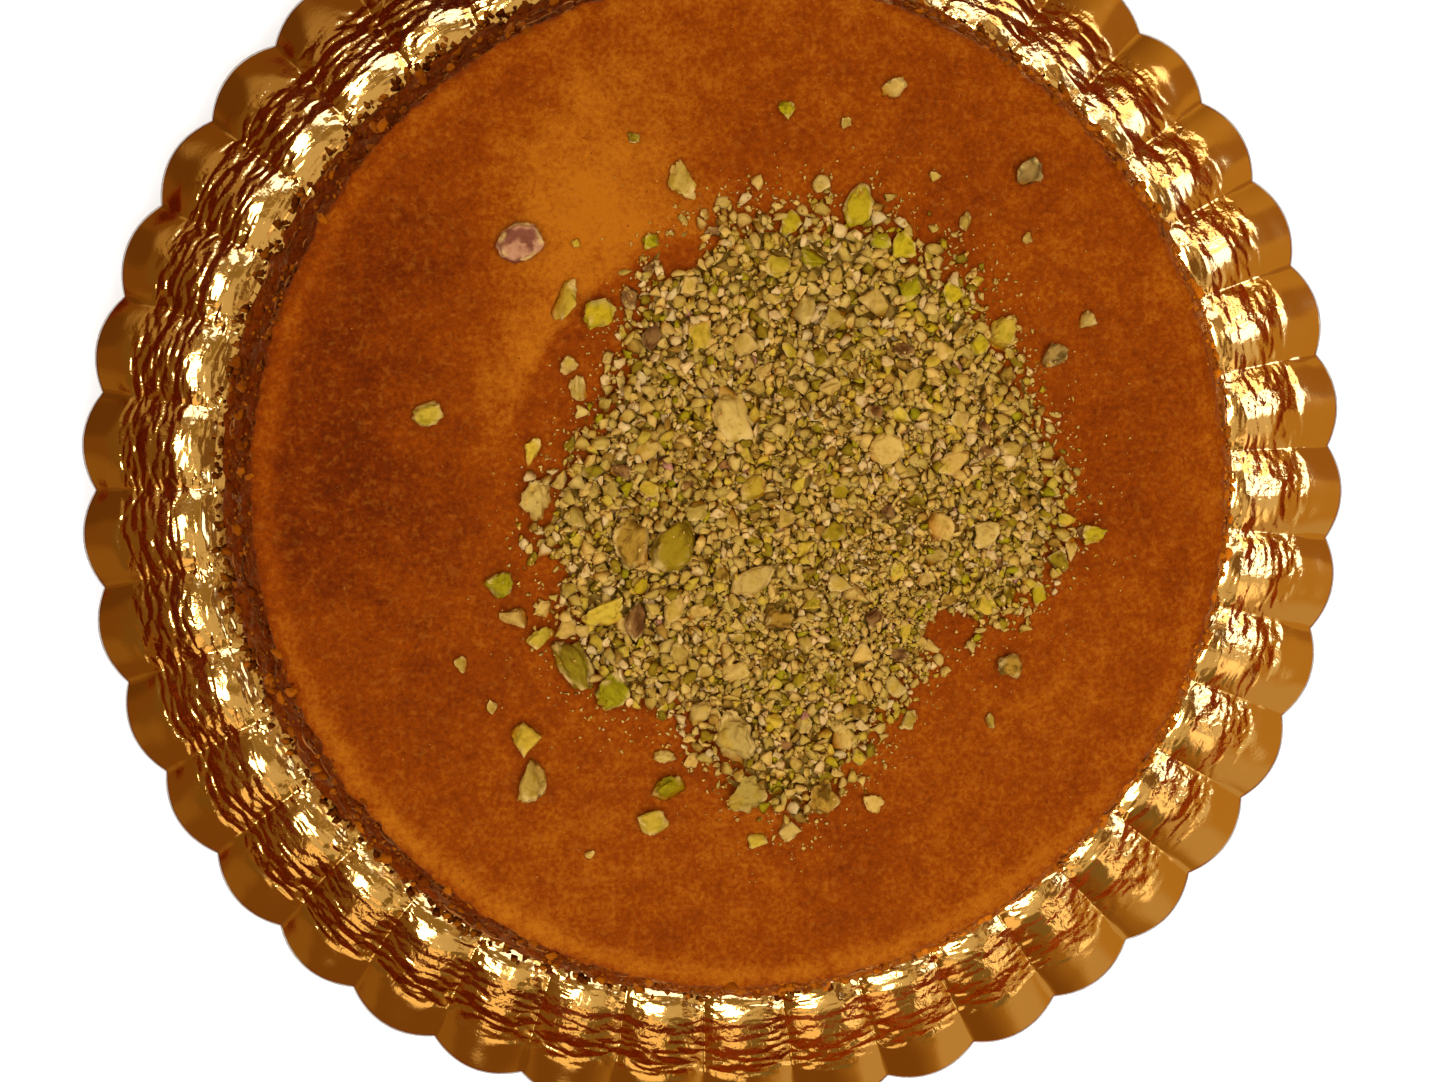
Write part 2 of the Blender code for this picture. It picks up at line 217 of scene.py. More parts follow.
def store(obj: Object, name: str, values: Array) -> None:
    """Keeps a value or a colour for each point of an object.

    Args:
        obj: The object.
        name: Name that the finish reads it by.
        values: One value, or one row of red, green and blue, for each point.
    """
    kind, key = "FLOAT", "value"
    if values.ndim == 2:
        kind, key = "FLOAT_COLOR", "color"
        values = np.insert(values, 3, 1.0, axis=1)
    layer = obj.data.attributes.new(name, kind, "POINT")
    layer.data.foreach_set(key, values.astype(np.float32).ravel())


def settle(obj: Object, slot: str, node: str | None = None) -> Object:
    """Attaches a piece to its body, hides the solid that it stands for and logs its slot.

    Args:
        obj: The piece.
        slot: The record's material slot.
        node: The solid that it replaces, if any.

    Returns:
        The same piece.
    """
    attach(obj, "root")
    if node:
        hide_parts(node)
    triangles = sum(len(face.vertices) - 2 for face in obj.data.polygons)
    log.info("%s: %d triangles, slot %s", obj.name, triangles, slot)
    return obj


# ---- finishes


class Nodes:
    """Short calls for the nodes that the finishes and the room are made of."""

    def __init__(self, tree: bpy.types.NodeTree) -> None:
        """Works in that node tree."""
        self.tree = tree

    def node(self, kind: str, inputs: dict | None = None, **settings) -> bpy.types.Node:
        """Adds a node.

        Args:
            kind: Its type, without the ShaderNode prefix.
            inputs: Input names or numbers with a value or a socket each.
            **settings: The node's own settings.

        Returns:
            The new node.
        """
        made = self.tree.nodes.new("ShaderNode" + kind)
        for key, value in settings.items():
            setattr(made, key, value)
        for key, value in (inputs or {}).items():
            if isinstance(value, bpy.types.NodeSocket):
                self.tree.links.new(value, made.inputs[key])
            else:
                made.inputs[key].default_value = value
        return made

    def noise(self, vector, spread: float, detail: float = 2.0, distortion: float = 0.0):
        """Noise of a wavelength in the vector's own unit, as a value around 0.5."""
        inputs = {"Vector": vector, "Scale": 1.0 / spread, "Detail": detail}
        inputs["Distortion"] = distortion
        return self.node("TexNoise", inputs).outputs["Fac"]

    def range(self, value, low: float, high: float, start: float = 0.0, end: float = 1.0):
        """Maps low to start and high to end, with no overshoot."""
        inputs = {"Value": value, "From Min": low, "From Max": high, "To Min": start, "To Max": end}
        return self.node("MapRange", inputs).outputs["Result"]

    def ease(self, value, low: float, high: float):
        """Eases from 0 at low to 1 at high."""
        inputs = {"Value": value, "From Min": low, "From Max": high}
        return self.node("MapRange", inputs, interpolation_type="SMOOTHSTEP").outputs["Result"]

    def sum(self, one, two, weight: float = 1.0):
        """One value plus a weight times another."""
        inputs = {0: two, 1: weight, 2: one}
        return self.node("Math", inputs, operation="MULTIPLY_ADD").outputs[0]

    def times(self, one, two):
        """The product of two values."""
        return self.node("Math", {0: one, 1: two}, operation="MULTIPLY").outputs[0]

    def ramp(self, value, stops: Iterable[tuple[float, Colour]]):
        """Colours along a value.

        Args:
            value: The value, from 0 to 1.
            stops: Places with their colours, in order.

        Returns:
            The colour socket.
        """
        made = self.node("ValToRGB", {"Fac": value})
        elements = made.color_ramp.elements
        while len(elements) < len(stops):
            elements.new(1.0)
        for element, (place, colour) in zip(elements, stops):
            element.position = place
            element.color = (*colour, 1.0)
        return made.outputs["Color"]

    def mix(self, share, one, two, blend: str = "MIX"):
        """Blends two colours by a share."""
        inputs = {"Factor": share, 6: one, 7: two}
        return self.node("Mix", inputs, data_type="RGBA", blend_type=blend).outputs[2]


class Bench(Nodes):
    """A new material, made with the same short calls."""

    def __init__(self, name: str) -> None:
        """Starts a material of that name with one Principled shader."""
        self.material = bpy.data.materials.new(name)
        self.material.use_nodes = True
        super().__init__(self.material.node_tree)
        self.shader = self.tree.nodes["Principled BSDF"]

    def place(self) -> bpy.types.NodeSocket:
        """The point's own place on the object, in metres."""
        return self.node("TexCoord").outputs["Object"]

    def read(self, name: str, output: str = "Fac") -> bpy.types.NodeSocket:
        """A value kept for the mesh's points."""
        return self.node("Attribute", attribute_name=name).outputs[output]

    def relief(self, height, depth: float, under=None):
        """Small relief for the shader's normal.

        Args:
            height: Socket with the height, from 0 to 1.
            depth: What a height of 1 stands for, in metres.
            under: An earlier relief that this one is laid on.

        Returns:
            The normal socket.
        """
        inputs = {"Height": height, "Distance": depth, "Strength": 1.0}
        if under is not None:
            inputs["Normal"] = under
        return self.node("Bump", inputs).outputs["Normal"]

    def surface(self, **inputs) -> Material:
        """Sets the shader's inputs, with spaces as underscores, and returns the material.

        Args:
            **inputs: Values or sockets.

        Returns:
            The material.
        """
        for key, value in inputs.items():
            socket = self.shader.inputs[key.replace("_", " ")]
            if isinstance(value, bpy.types.NodeSocket):
                self.tree.links.new(value, socket)
            else:
                socket.default_value = value
        return self.material


@dataclass(frozen=True)
class FoilFinish:
    """Gold foil, with small dents where the mesh is embossed."""

    gold: Colour = (1.0, 0.56, 0.17)
    roughness: float = 0.10
    dent_width: float = 0.0017
    dent_depth: float = 0.00022
    crinkle_width: float = 0.0006
    crinkle_depth: float = 0.000012

    def build(self) -> Material:
        """Lays out the nodes.

        Returns:
            The material.
        """
        bench = Bench("gold foil")
        place = bench.place()
        dents = bench.times(bench.noise(place, self.dent_width, 2.0, 0.4), bench.read("emboss"))
        first = bench.relief(dents, self.dent_depth)
        normal = bench.relief(bench.noise(place, self.crinkle_width, 2.0), self.crinkle_depth, first)
        return bench.surface(
            Base_Color=(*self.gold, 1.0), Metallic=1.0, Roughness=self.roughness, Normal=normal
        )


@dataclass(frozen=True)
class CardFinish:
    """Plain grey-white card: the cut edge and the underside of the tray."""

    name: str = "card"
    light: Colour = (0.56, 0.50, 0.42)
    dark: Colour = (0.36, 0.32, 0.27)
    roughness: float = 0.75
    fibre_width: float = 0.0009
    fibre_depth: float = 0.00005

    def build(self) -> Material:
        """Makes the material."""
        bench = Bench(self.name)
        fibre = bench.noise(bench.place(), self.fibre_width, 4.0, 0.4)
        colour = bench.mix(bench.range(fibre, 0.3, 0.7), (*self.dark, 1.0), (*self.light, 1.0))
        normal = bench.relief(fibre, self.fibre_depth)
        return bench.surface(Base_Color=colour, Roughness=self.roughness, Normal=normal)


@dataclass(frozen=True)
class CrustFinish:
    """Fried semolina crust: orange-brown, grainy, darker where the mesh's tone is low."""

    name: str = "semolina crust"
    burnt: Colour = (0.060, 0.010, 0.0012)
    dark: Colour = (0.145, 0.0185, 0.0008)
    middle: Colour = (0.275, 0.0458, 0.0013)
    pale: Colour = (0.48, 0.135, 0.0055)
    grain: Colour = (0.49, 0.15, 0.011)
    grain_share: float = 0.24
    roughness: Span = (0.37, 0.54)
    mottle_width: float = 0.0055
    speck_width: float = 0.0012
    fine_width: float = 0.00055
    grain_width: float = 0.0016
    grain_depth: float = 0.00016
    shine: float = 0.04
    sheen: Colour = (1.0, 0.55, 0.22)

    def build(self) -> Material:
        """Lays out the nodes.

        Returns:
            The material.
        """
        bench = Bench(self.name)
        place = bench.place()
        mottle = bench.noise(place, self.mottle_width, 3.0, 0.3)
        speck = bench.noise(place, self.speck_width, 2.0, 0.2)
        fine = bench.noise(place, self.fine_width, 2.0)
        tone = bench.read("tone")
        for noise, strength in ((mottle, 0.20), (speck, 0.22), (fine, 0.14)):
            tone = bench.sum(tone, bench.range(noise, 0.25, 0.75, -0.5, 0.5), strength)
        stops = [(0.0, self.burnt), (0.28, self.dark), (0.55, self.middle), (0.85, self.pale)]
        blotch = bench.range(bench.noise(place, self.grain_width, 1.5, 0.3), 0.54, 0.72)
        blotch = bench.times(blotch, self.grain_share)
        colour = bench.mix(blotch, bench.ramp(tone, stops), (*self.grain, 1.0))
        coarse = bench.relief(speck, self.grain_depth * 1.6)
        return bench.surface(
            Base_Color=colour,
            Roughness=bench.range(mottle, 0.3, 0.7, *self.roughness),
            Specular_IOR_Level=self.shine,
            Specular_Tint=(*self.sheen, 1.0),
            Normal=bench.relief(fine, self.grain_depth, coarse),
        )


@dataclass(frozen=True)
class NutFinish:
    """Chopped pistachio or crumb: each point's kept colour, which holds painted shade and light as
    well as its own colour, mottled and grainy.
    """

    name: str
    roughness: float = 0.55
    grain: float = 0.0009
    depth: float = 0.00012
    shine: float = 0.10
    sheen: Colour = (1.0, 0.60, 0.08)

    def build(self) -> Material:
        """Lays out the nodes.

        Returns:
            The material.
        """
        bench = Bench(self.name)
        place = bench.place()
        flesh = bench.read("flesh", "Color")
        cloud = bench.noise(place, self.grain * 3.0, 3.0, 0.4)
        fine = bench.noise(place, self.grain, 3.0)
        shade = bench.ramp(
            bench.sum(bench.times(cloud, 0.55), fine, 0.45),
            [(0.28, (0.70, 0.62, 0.50)), (0.50, (1.0, 1.0, 1.0)), (0.72, (1.14, 1.14, 1.2))],
        )
        colour = bench.mix(1.0, flesh, shade, "MULTIPLY")
        coarse = bench.relief(cloud, self.depth * 2.0)
        normal = bench.relief(fine, self.depth, coarse)
        return bench.surface(
            Base_Color=colour,
            Roughness=self.roughness,
            Specular_IOR_Level=self.shine,
            Specular_Tint=(*self.sheen, 1.0),
            Normal=normal,
        )


@dataclass(frozen=True)
class FloorFinish:
    """The pale floor of the studio."""

    colour: Colour = (0.74, 0.74, 0.74)
    glow: float = 0.46

    def build(self) -> Material:
        """Lays out the nodes.

        Returns:
            The material.
        """
        bench = Bench("studio floor")
        return bench.surface(
            Base_Color=(*self.colour, 1.0),
            Roughness=0.9,
            Specular_IOR_Level=0.1,
            Emission_Color=(1.0, 1.0, 1.0, 1.0),
            Emission_Strength=self.glow,
        )


# ---- tray


@dataclass
class Sheet:
    """The foil face rolled out, with an array value for each of its points.

    Attributes:
        points: Places for the noises, one row each.
        u: Places along the tray's round.
        v: Places across the face, from the floor outwards.
        turn: Angles about the tray's middle.
        radius: Distances from the tray's middle before the face is fluted.
        place: Shares of the way through the lobe.
        beside: Distances from the nearest crease between two lobes.
    """

    points: Array
    u: Array
    v: Array
    turn: Array
    radius: Array
    place: Array
    beside: Array

    def noise(self, wave: Wave) -> Array:
        """The height of a noise over the face."""
        return wave.at(self.points).reshape(self.u.shape)


@dataclass
class FoilTray:
    """The pressed tray: foil face, cut card edge and card underside in one closed piece.

    A span of radii says where a zone of the pressing starts and where it is full.
    """

    radius: float = 150.0
    lip_inner: float = 143.0
    wall_inner: float = 131.0
    floor_radius: float = 124.5
    height: float = 14.0
    lip_height: float = 9.1
    wall_height: float = 2.35
    band_lift: float = 0.4
    wall_bow: float = -0.4
    bend: float = 0.4
    card: float = 1.2
    edge_line: tuple[Span, ...] = ((149.70, 0.10), (150.0, 0.36), (150.0, 0.85), (149.8, 1.1))
    under_radii: tuple[float, ...] = (149.0, 143.6, 137.5, 131.4, 124.8)
    under_floor: float = 118.0
    lobes: int = 41
    lobe_depth: float = 3.3
    first_crease: float = math.radians(4.1)
    middle: float = 137.0
    flute_rise: float = 0.6
    columns_per_lobe: int = 24
    crowding: float = 0.5
    fine_step: float = 0.31
    lip_step: float = 1.4
    band_start: Span = (120.6, 121.6)
    wall_start: Span = (129.5, 131.5)
    wall_end: Span = (141.8, 144.2)
    east_span: Span = (-0.15, 0.85)
    south_span: Span = (-0.1, 0.8)
    crushed_zone: tuple[Span, Span] = ((0.40, 0.55), (0.93, 1.0))
    panel_zone: tuple[Span, Span] = ((0.05, 0.13), (0.72, 0.80))
    wander: tuple[Wave, ...] = (Wave(1.5, (6.4, 6.4, 4.6), 3), Wave(0.8, (2.6, 2.6, 2.2), 4))
    wander_with_flute: float = 1.1
    groove: float = 0.12
    wall_cell: tuple[float, float] = (8.0, 2.5)
    terrace: float = 0.042
    terrace_reach: float = 1.7
    ridge_height: float = 0.155
    ridge_width: float = 0.30
    facet_tilt: float = 0.03
    sharper: float = 0.45
    sharper_span: Span = (136.0, 139.5)
    south_calm_end: Span = (133.0, 137.0)
    band_cell: tuple[float, float] = (5.0, 3.3)
    band_ridge_height: float = 0.06
    band_ridge_width: float = 0.2
    patch_tilt: float = 0.095
    pit_depth: float = 0.13
    pit_noise: Wave = Wave(1.0, 1.5, 13)
    pit_span: Span = (0.30, 0.52)
    crumple: Wave = Wave(0.085, (3.6, 3.6, 2.8), 11, 2)
    pleat: float = 0.6
    pleat_start: Span = (121.6, 127.0)
    pleat_fade: Span = (132.0, 136.0)
    crease_rise: float = 0.14
    crease_width: float = 0.5
    bead_height: float = 0.06
    bead_radius: float = 143.7
    bead_width: float = 0.35
    bead_spacing: float = 1.7
    lip_start: Span = (143.5, 146.0)
    lip_noise: Wave = Wave(0.24, (9.0, 9.0, 6.0), 21)
    lip_bow: float = -0.06
    lip_crease_depth: float = 0.22
    lip_crease_width: float = 0.45

    def face_line(self) -> Array:
        """The foil face from just inside the floor's edge to the rim.

        Returns:
            Its rows, as (radius, height).
        """
        mid = 0.5 * (self.wall_inner + self.lip_inner)
        mid_height = 0.5 * (self.wall_height + self.lip_height) + self.wall_bow
        corners = np.array(
            [
                (self.floor_radius - 4.0, self.card),
                (self.floor_radius, self.card),
                (0.5 * (self.floor_radius + self.wall_inner), self.card + self.band_lift),
                (self.wall_inner, self.wall_height),
                (mid, mid_height),
                (self.lip_inner, self.lip_height),
                (self.radius, self.height),
            ]
        )
        run = np.concatenate([[0], np.cumsum(np.hypot(*np.diff(corners, axis=0).T))])
        dense = np.arange(-4.0, run[-1] + 4.0, 0.1)
        line = np.stack([np.interp(dense, run, corners[:, k]) for k in (0, 1)], axis=1)
        for side, ends in ((dense < 0, (0, 1)), (dense > run[-1], (-2, -1))):
            step = corners[ends[1]] - corners[ends[0]]
            step /= np.hypot(*step)
            start = 0.0 if ends[0] == 0 else run[-1]
            origin = corners[0] if ends[0] == 0 else corners[-1]
            line[side] = origin + (dense[side] - start)[:, None] * step
        kernel = np.exp(-0.5 * (np.arange(-30, 31) * 0.1 / self.bend) ** 2)
        kernel /= kernel.sum()
        soft = np.stack([np.convolve(line[:, k], kernel, mode="same") for k in (0, 1)], axis=1)
        lip_start = run[5] + 0.6
        stops = np.concatenate(
            [
                [0.0],
                np.arange(0.6, lip_start, self.fine_step),
                np.arange(lip_start, run[-1] - 1.2, self.lip_step),
                [run[-1] - 0.8, run[-1] - 0.5],
            ]
        )
        return np.stack([np.interp(stops, dense, soft[:, k]) for k in (0, 1)], axis=1)

    def angles(self) -> Array:
        """Angles of the columns, closer together beside each crease."""
        share = np.arange(self.columns_per_lobe) / self.columns_per_lobe
        share = share - self.crowding * np.sin(math.tau * share) / math.tau
        lobe = np.arange(self.lobes)[:, None]
        return self.first_crease + (lobe + share[None, :]).ravel() * math.tau / self.lobes

    def cells(
        self, u: Array, v: Array, size: tuple[float, float], seed: int
    ) -> tuple[Array, Array, Array]:
        """A pattern of long cells round the tray.

        Args:
            u: Places along the tray's round.
            v: Places across its wall.
            size: Length and width of a cell.
            seed: Picks one of many patterns.

        Returns:
            The distance to the nearest border, the place across each cell from its middle, and a
            plane of its own tilt for each cell.
        """
        rng = np.random.default_rng(seed)
        count_u = round(math.tau * self.middle / size[0])
        count_v = int(v.max() / size[1]) + 8
        step_u = math.tau * self.middle / count_u
        seeds = rng.uniform(-0.42, 0.42, (count_u, count_v, 2))
        seeds[:, :, 0] += 0.5 * (np.arange(count_v) % 2)[None, :]
        tilts = rng.uniform(-1.0, 1.0, (count_u, count_v, 2))
        base_u = np.floor(u / step_u).astype(int)
        base_v = np.floor(v / size[1]).astype(int) + 3
        nearest = np.full(u.shape, 1e9)
        second = np.full(u.shape, 1e9)
        plane = np.zeros(u.shape)
        across = np.zeros(u.shape)
        stretch = size[0] / size[1]
        for move_u, move_v in itertools.product(range(-2, 3), range(-2, 3)):
            cell_u = base_u + move_u
            cell_v = np.clip(base_v + move_v, 0, count_v - 1)
            jitter = seeds[cell_u % count_u, cell_v]
            gap_u = u - (cell_u + 0.5 + jitter[..., 0]) * step_u
            gap_v = v - (cell_v - 3 + 0.5 + jitter[..., 1]) * size[1]
            reach = np.hypot(gap_u / stretch, gap_v)
            tilt = tilts[cell_u % count_u, cell_v]
            closer = reach < nearest
            second = np.where(closer, nearest, np.minimum(second, reach))
            plane = np.where(closer, tilt[..., 1] * gap_v + 0.5 * tilt[..., 0] * gap_u, plane)
            across = np.where(closer, gap_v, across)
            nearest = np.where(closer, reach, nearest)
        return 0.5 * (second - nearest), across, plane

    def roll_out(self, angles: Array, line: Array) -> Sheet:
        """The face as a sheet.

        Args:
            angles: Angles of the columns.
            line: Rows of the face, as (radius, height).

        Returns:
            The sheet, with its rows across the face.
        """
        run = np.concatenate([[0], np.cumsum(np.hypot(*np.diff(line, axis=0).T))])
        u, v = np.meshgrid(angles * self.middle, run)
        turn = u / self.middle
        points = np.stack([np.cos(turn) * self.middle, np.sin(turn) * self.middle, v], axis=-1)
        radius = line[:, 0][:, None] * np.ones_like(u)
        lobe = (turn - self.first_crease) * self.lobes / math.tau
        beside = ((lobe + 0.5) % 1.0 - 0.5) * math.tau / self.lobes * radius
        return Sheet(points.reshape(-1, 3), u, v, turn, radius, lobe % 1.0, beside)

    def emboss(self, angles: Array, line: Array) -> tuple[Array, Array]:
        """Height of the pressed pattern over the plain foil.

        Args:
            angles: Angles of the columns.
            line: Rows of the face, as (radius, height).

        Returns:
            The height for each row and column, and the weight of the pattern there.
        """
        sheet = self.roll_out(angles, line)
        wall = between(self.wall_start, self.wall_end, sheet.radius)
        band = between(self.band_start, self.wall_start, sheet.radius)
        east = smoothstep(*self.east_span, np.cos(sheet.turn))
        south = smoothstep(*self.south_span, -np.sin(sheet.turn))
        crushed = east * between(*self.crushed_zone, sheet.place)
        panel = between(*self.panel_zone, sheet.place)
        wander = sum(sheet.noise(wave) for wave in self.wander)
        wander -= self.wander_with_flute * (sheet.radius - self.flute(sheet.radius, sheet.turn))
        height = wall * self.wrinkles(sheet, wander, east, south)
        height += band * self.patches(sheet, wander, panel)
        rough = wall * (0.35 - 0.2 * east + 2.8 * crushed) + band * (1.9 - 1.6 * panel)
        height += rough * sheet.noise(self.crumple)
        height += self.pleats(sheet, east, south) + self.lip_relief(sheet, east)
        return height, wall * (0.6 - 0.45 * east + 0.8 * crushed) + band * (0.5 - 0.3 * panel)

    def wrinkles(
        self, sheet: Sheet, wander: Array, east: Array, south: Array
    ) -> Array:
        """Long wrinkles round the wall with steps between them.

        Args:
            sheet: The rolled out face.
            wander: How far the wrinkles stray across the wall.
            east: Weight of the right side, where they are faint.
            south: Weight of the near side, where they are fainter low on the wall.

        Returns:
            Their height.
        """
        drawn = 1.0 - 0.5 * south * (1.0 - smoothstep(*self.south_calm_end, sheet.radius))
        drawn *= 1.0 - 0.85 * east
        border, across, plane = self.cells(sheet.u, sheet.v + wander, self.wall_cell, SEED)
        inside = 1.0 - np.exp(-((border / self.groove) ** 2))
        high = self.ridge_height * (1.0 + self.sharper * smoothstep(*self.sharper_span, sheet.radius))
        ridge = high * np.exp(-((border / self.ridge_width) ** 2))
        steps = self.terrace * np.clip(across, -self.terrace_reach, self.terrace_reach)
        steps += self.facet_tilt * plane
        return drawn * (ridge + inside * steps) + 0.2 * east * ridge

    def patches(self, sheet: Sheet, wander: Array, panel: Array) -> Array:
        """Flat patches of the band with ridges between them and small pits.

        Args:
            sheet: The rolled out face.
            wander: How far the ridges stray across the band.
            panel: Weight of each lobe's calmer part.

        Returns:
            Their height.
        """
        border, _, plane = self.cells(sheet.u, sheet.v + 0.5 * wander, self.band_cell, SEED + 1)
        ridge = self.band_ridge_height * np.exp(-((border / self.band_ridge_width) ** 2))
        inside = 1.0 - np.exp(-((border / self.groove) ** 2))
        pits = self.pit_depth * smoothstep(*self.pit_span, sheet.noise(self.pit_noise))
        return ridge + (1.0 - 0.6 * panel) * self.patch_tilt * plane * inside - pits

    def pleats(self, sheet: Sheet, east: Array, south: Array) -> Array:
        """The hollow of each lobe and the crease beside it, which fade towards the lip.

        Args:
            sheet: The rolled out face.
            east: Weight of the right side.
            south: Weight of the near side.

        Returns:
            Their height.
        """
        turned = np.maximum(east, south)
        fade_start = self.pleat_fade[0] + (self.pleat_fade[1] - self.pleat_fade[0]) * turned
        pressed = smoothstep(*self.pleat_start, sheet.radius)
        pressed *= 1.0 - smoothstep(fade_start, self.lip_inner, sheet.radius)
        hollow = self.pleat * (1.0 + 0.45 * turned) * (self.bulge(sheet.turn) - 0.5)
        crease = self.crease_rise * (1.0 - 0.7 * east)
        crease *= np.exp(-((sheet.beside / self.crease_width) ** 2))
        return pressed * (crease - hollow)

    def lip_relief(self, sheet: Sheet, east: Array) -> Array:
        """The beads along the lip's inner edge, its slow waves, its bow and its creases.

        Args:
            sheet: The rolled out face.
            east: Weight of the right side.

        Returns:
            Their height.
        """
        dots = 0.5 + 0.5 * np.cos(sheet.u * math.tau / self.bead_spacing)
        row = np.exp(-(((sheet.radius - self.bead_radius) / self.bead_width) ** 2))
        beads = self.bead_height * east * row * dots
        share = np.clip((sheet.radius - self.lip_inner) / (self.radius - self.lip_inner), 0.0, 1.0)
        crease = self.lip_crease_depth * np.exp(-((sheet.beside / self.lip_crease_width) ** 2))
        lip = smoothstep(*self.lip_start, sheet.radius)
        bow = self.lip_bow * np.sin(math.pi * share)
        return beads + bow + lip * (sheet.noise(self.lip_noise) - crease)

    def bulge(self, angles: Array) -> Array:
        """How far an angle is into its lobe: 0 at a crease, 1 half way between two."""
        place = ((angles - self.first_crease) * self.lobes / math.tau) % 1.0
        return 4.0 * place * (1.0 - place)

    def flute(self, radii: Array, angles: Array) -> Array:
        """Radii pulled in towards the creases between the lobes."""
        share = np.clip((radii - self.floor_radius) / (self.radius - self.floor_radius), 0.0, 1.0)
        return radii - self.lobe_depth * share**self.flute_rise * (1.0 - self.bulge(angles))

    def rings(self) -> tuple[Array, Array, int]:
        """All rings from the floor's face over the rim to the underside.

        Returns:
            The rings' (radius, height) rows, the slope across each, and the count of foil rings.
        """
        face = self.face_line()
        edge = [(radius, self.height - drop) for radius, drop in self.edge_line]
        under = []
        for radius in self.under_radii:
            level = np.interp(radius, *face.T)
            rise = np.interp(radius + 0.5, *face.T) - np.interp(radius - 0.5, *face.T)
            under.append((radius, max(0.0, level - self.card * math.hypot(1.0, rise))))
        rows = np.concatenate([face, edge, under, [(self.under_floor, 0.0)]])
        slopes = np.gradient(face, axis=0)
        slopes /= np.hypot(*slopes.T)[:, None]
        return rows, slopes, len(face)

    def build(self, foil: Material, card: Material) -> Object:
        """Makes the tray.

        Args:
            foil: Finish of the face.
            card: Finish of the cut edge and the underside.

        Returns:
            The tray piece.
        """
        rows, slopes, foil_rows = self.rings()
        angles = self.angles()
        columns = len(angles)
        radius = np.repeat(rows[:, 0][:, None], columns, axis=1)
        height = np.repeat(rows[:, 1][:, None], columns, axis=1)
        lift, weight = self.emboss(angles, rows[:foil_rows])
        turned = np.repeat(angles[None, :], len(rows), axis=0)
        radius = self.flute(radius, turned)
        radius[:foil_rows] -= lift * slopes[:, 1][:, None]
        height[:foil_rows] += lift * slopes[:, 0][:, None]
        points = np.stack([radius * np.cos(turned), radius * np.sin(turned), height], axis=-1)
        points = points.reshape(-1, 3)
        faces = strip_faces(len(rows), columns)
        inner = np.arange(columns)[::-1]
        outer = np.arange(columns) + (len(rows) - 1) * columns
        middles = np.array([(0.0, 0.0, self.card), (0.0, 0.0, 0.0)])
        count = len(points)
        points = np.concatenate([points, middles])
        fans = np.concatenate([fan_faces(count, inner[::-1]), fan_faces(count + 1, outer[::-1])])
        on_card = np.repeat(np.arange(len(rows) - 1) >= foil_rows - 1, columns).astype(int)
        finish_index = np.concatenate([on_card, np.zeros(columns), np.ones(columns)])
        tray = mesh_object("foil_tray", points, [faces, fans], [foil, card], finish_index)
        weights = np.zeros((len(rows), columns))
        weights[:foil_rows] = weight
        store(tray, "emboss", np.concatenate([weights.ravel(), [0.0, 0.0]]))
        return tray


# ---- cake


@dataclass
class ToneSpot:
    """A paler or darker place of the crust."""

    x: float
    y: float
    reach: float
    amount: float


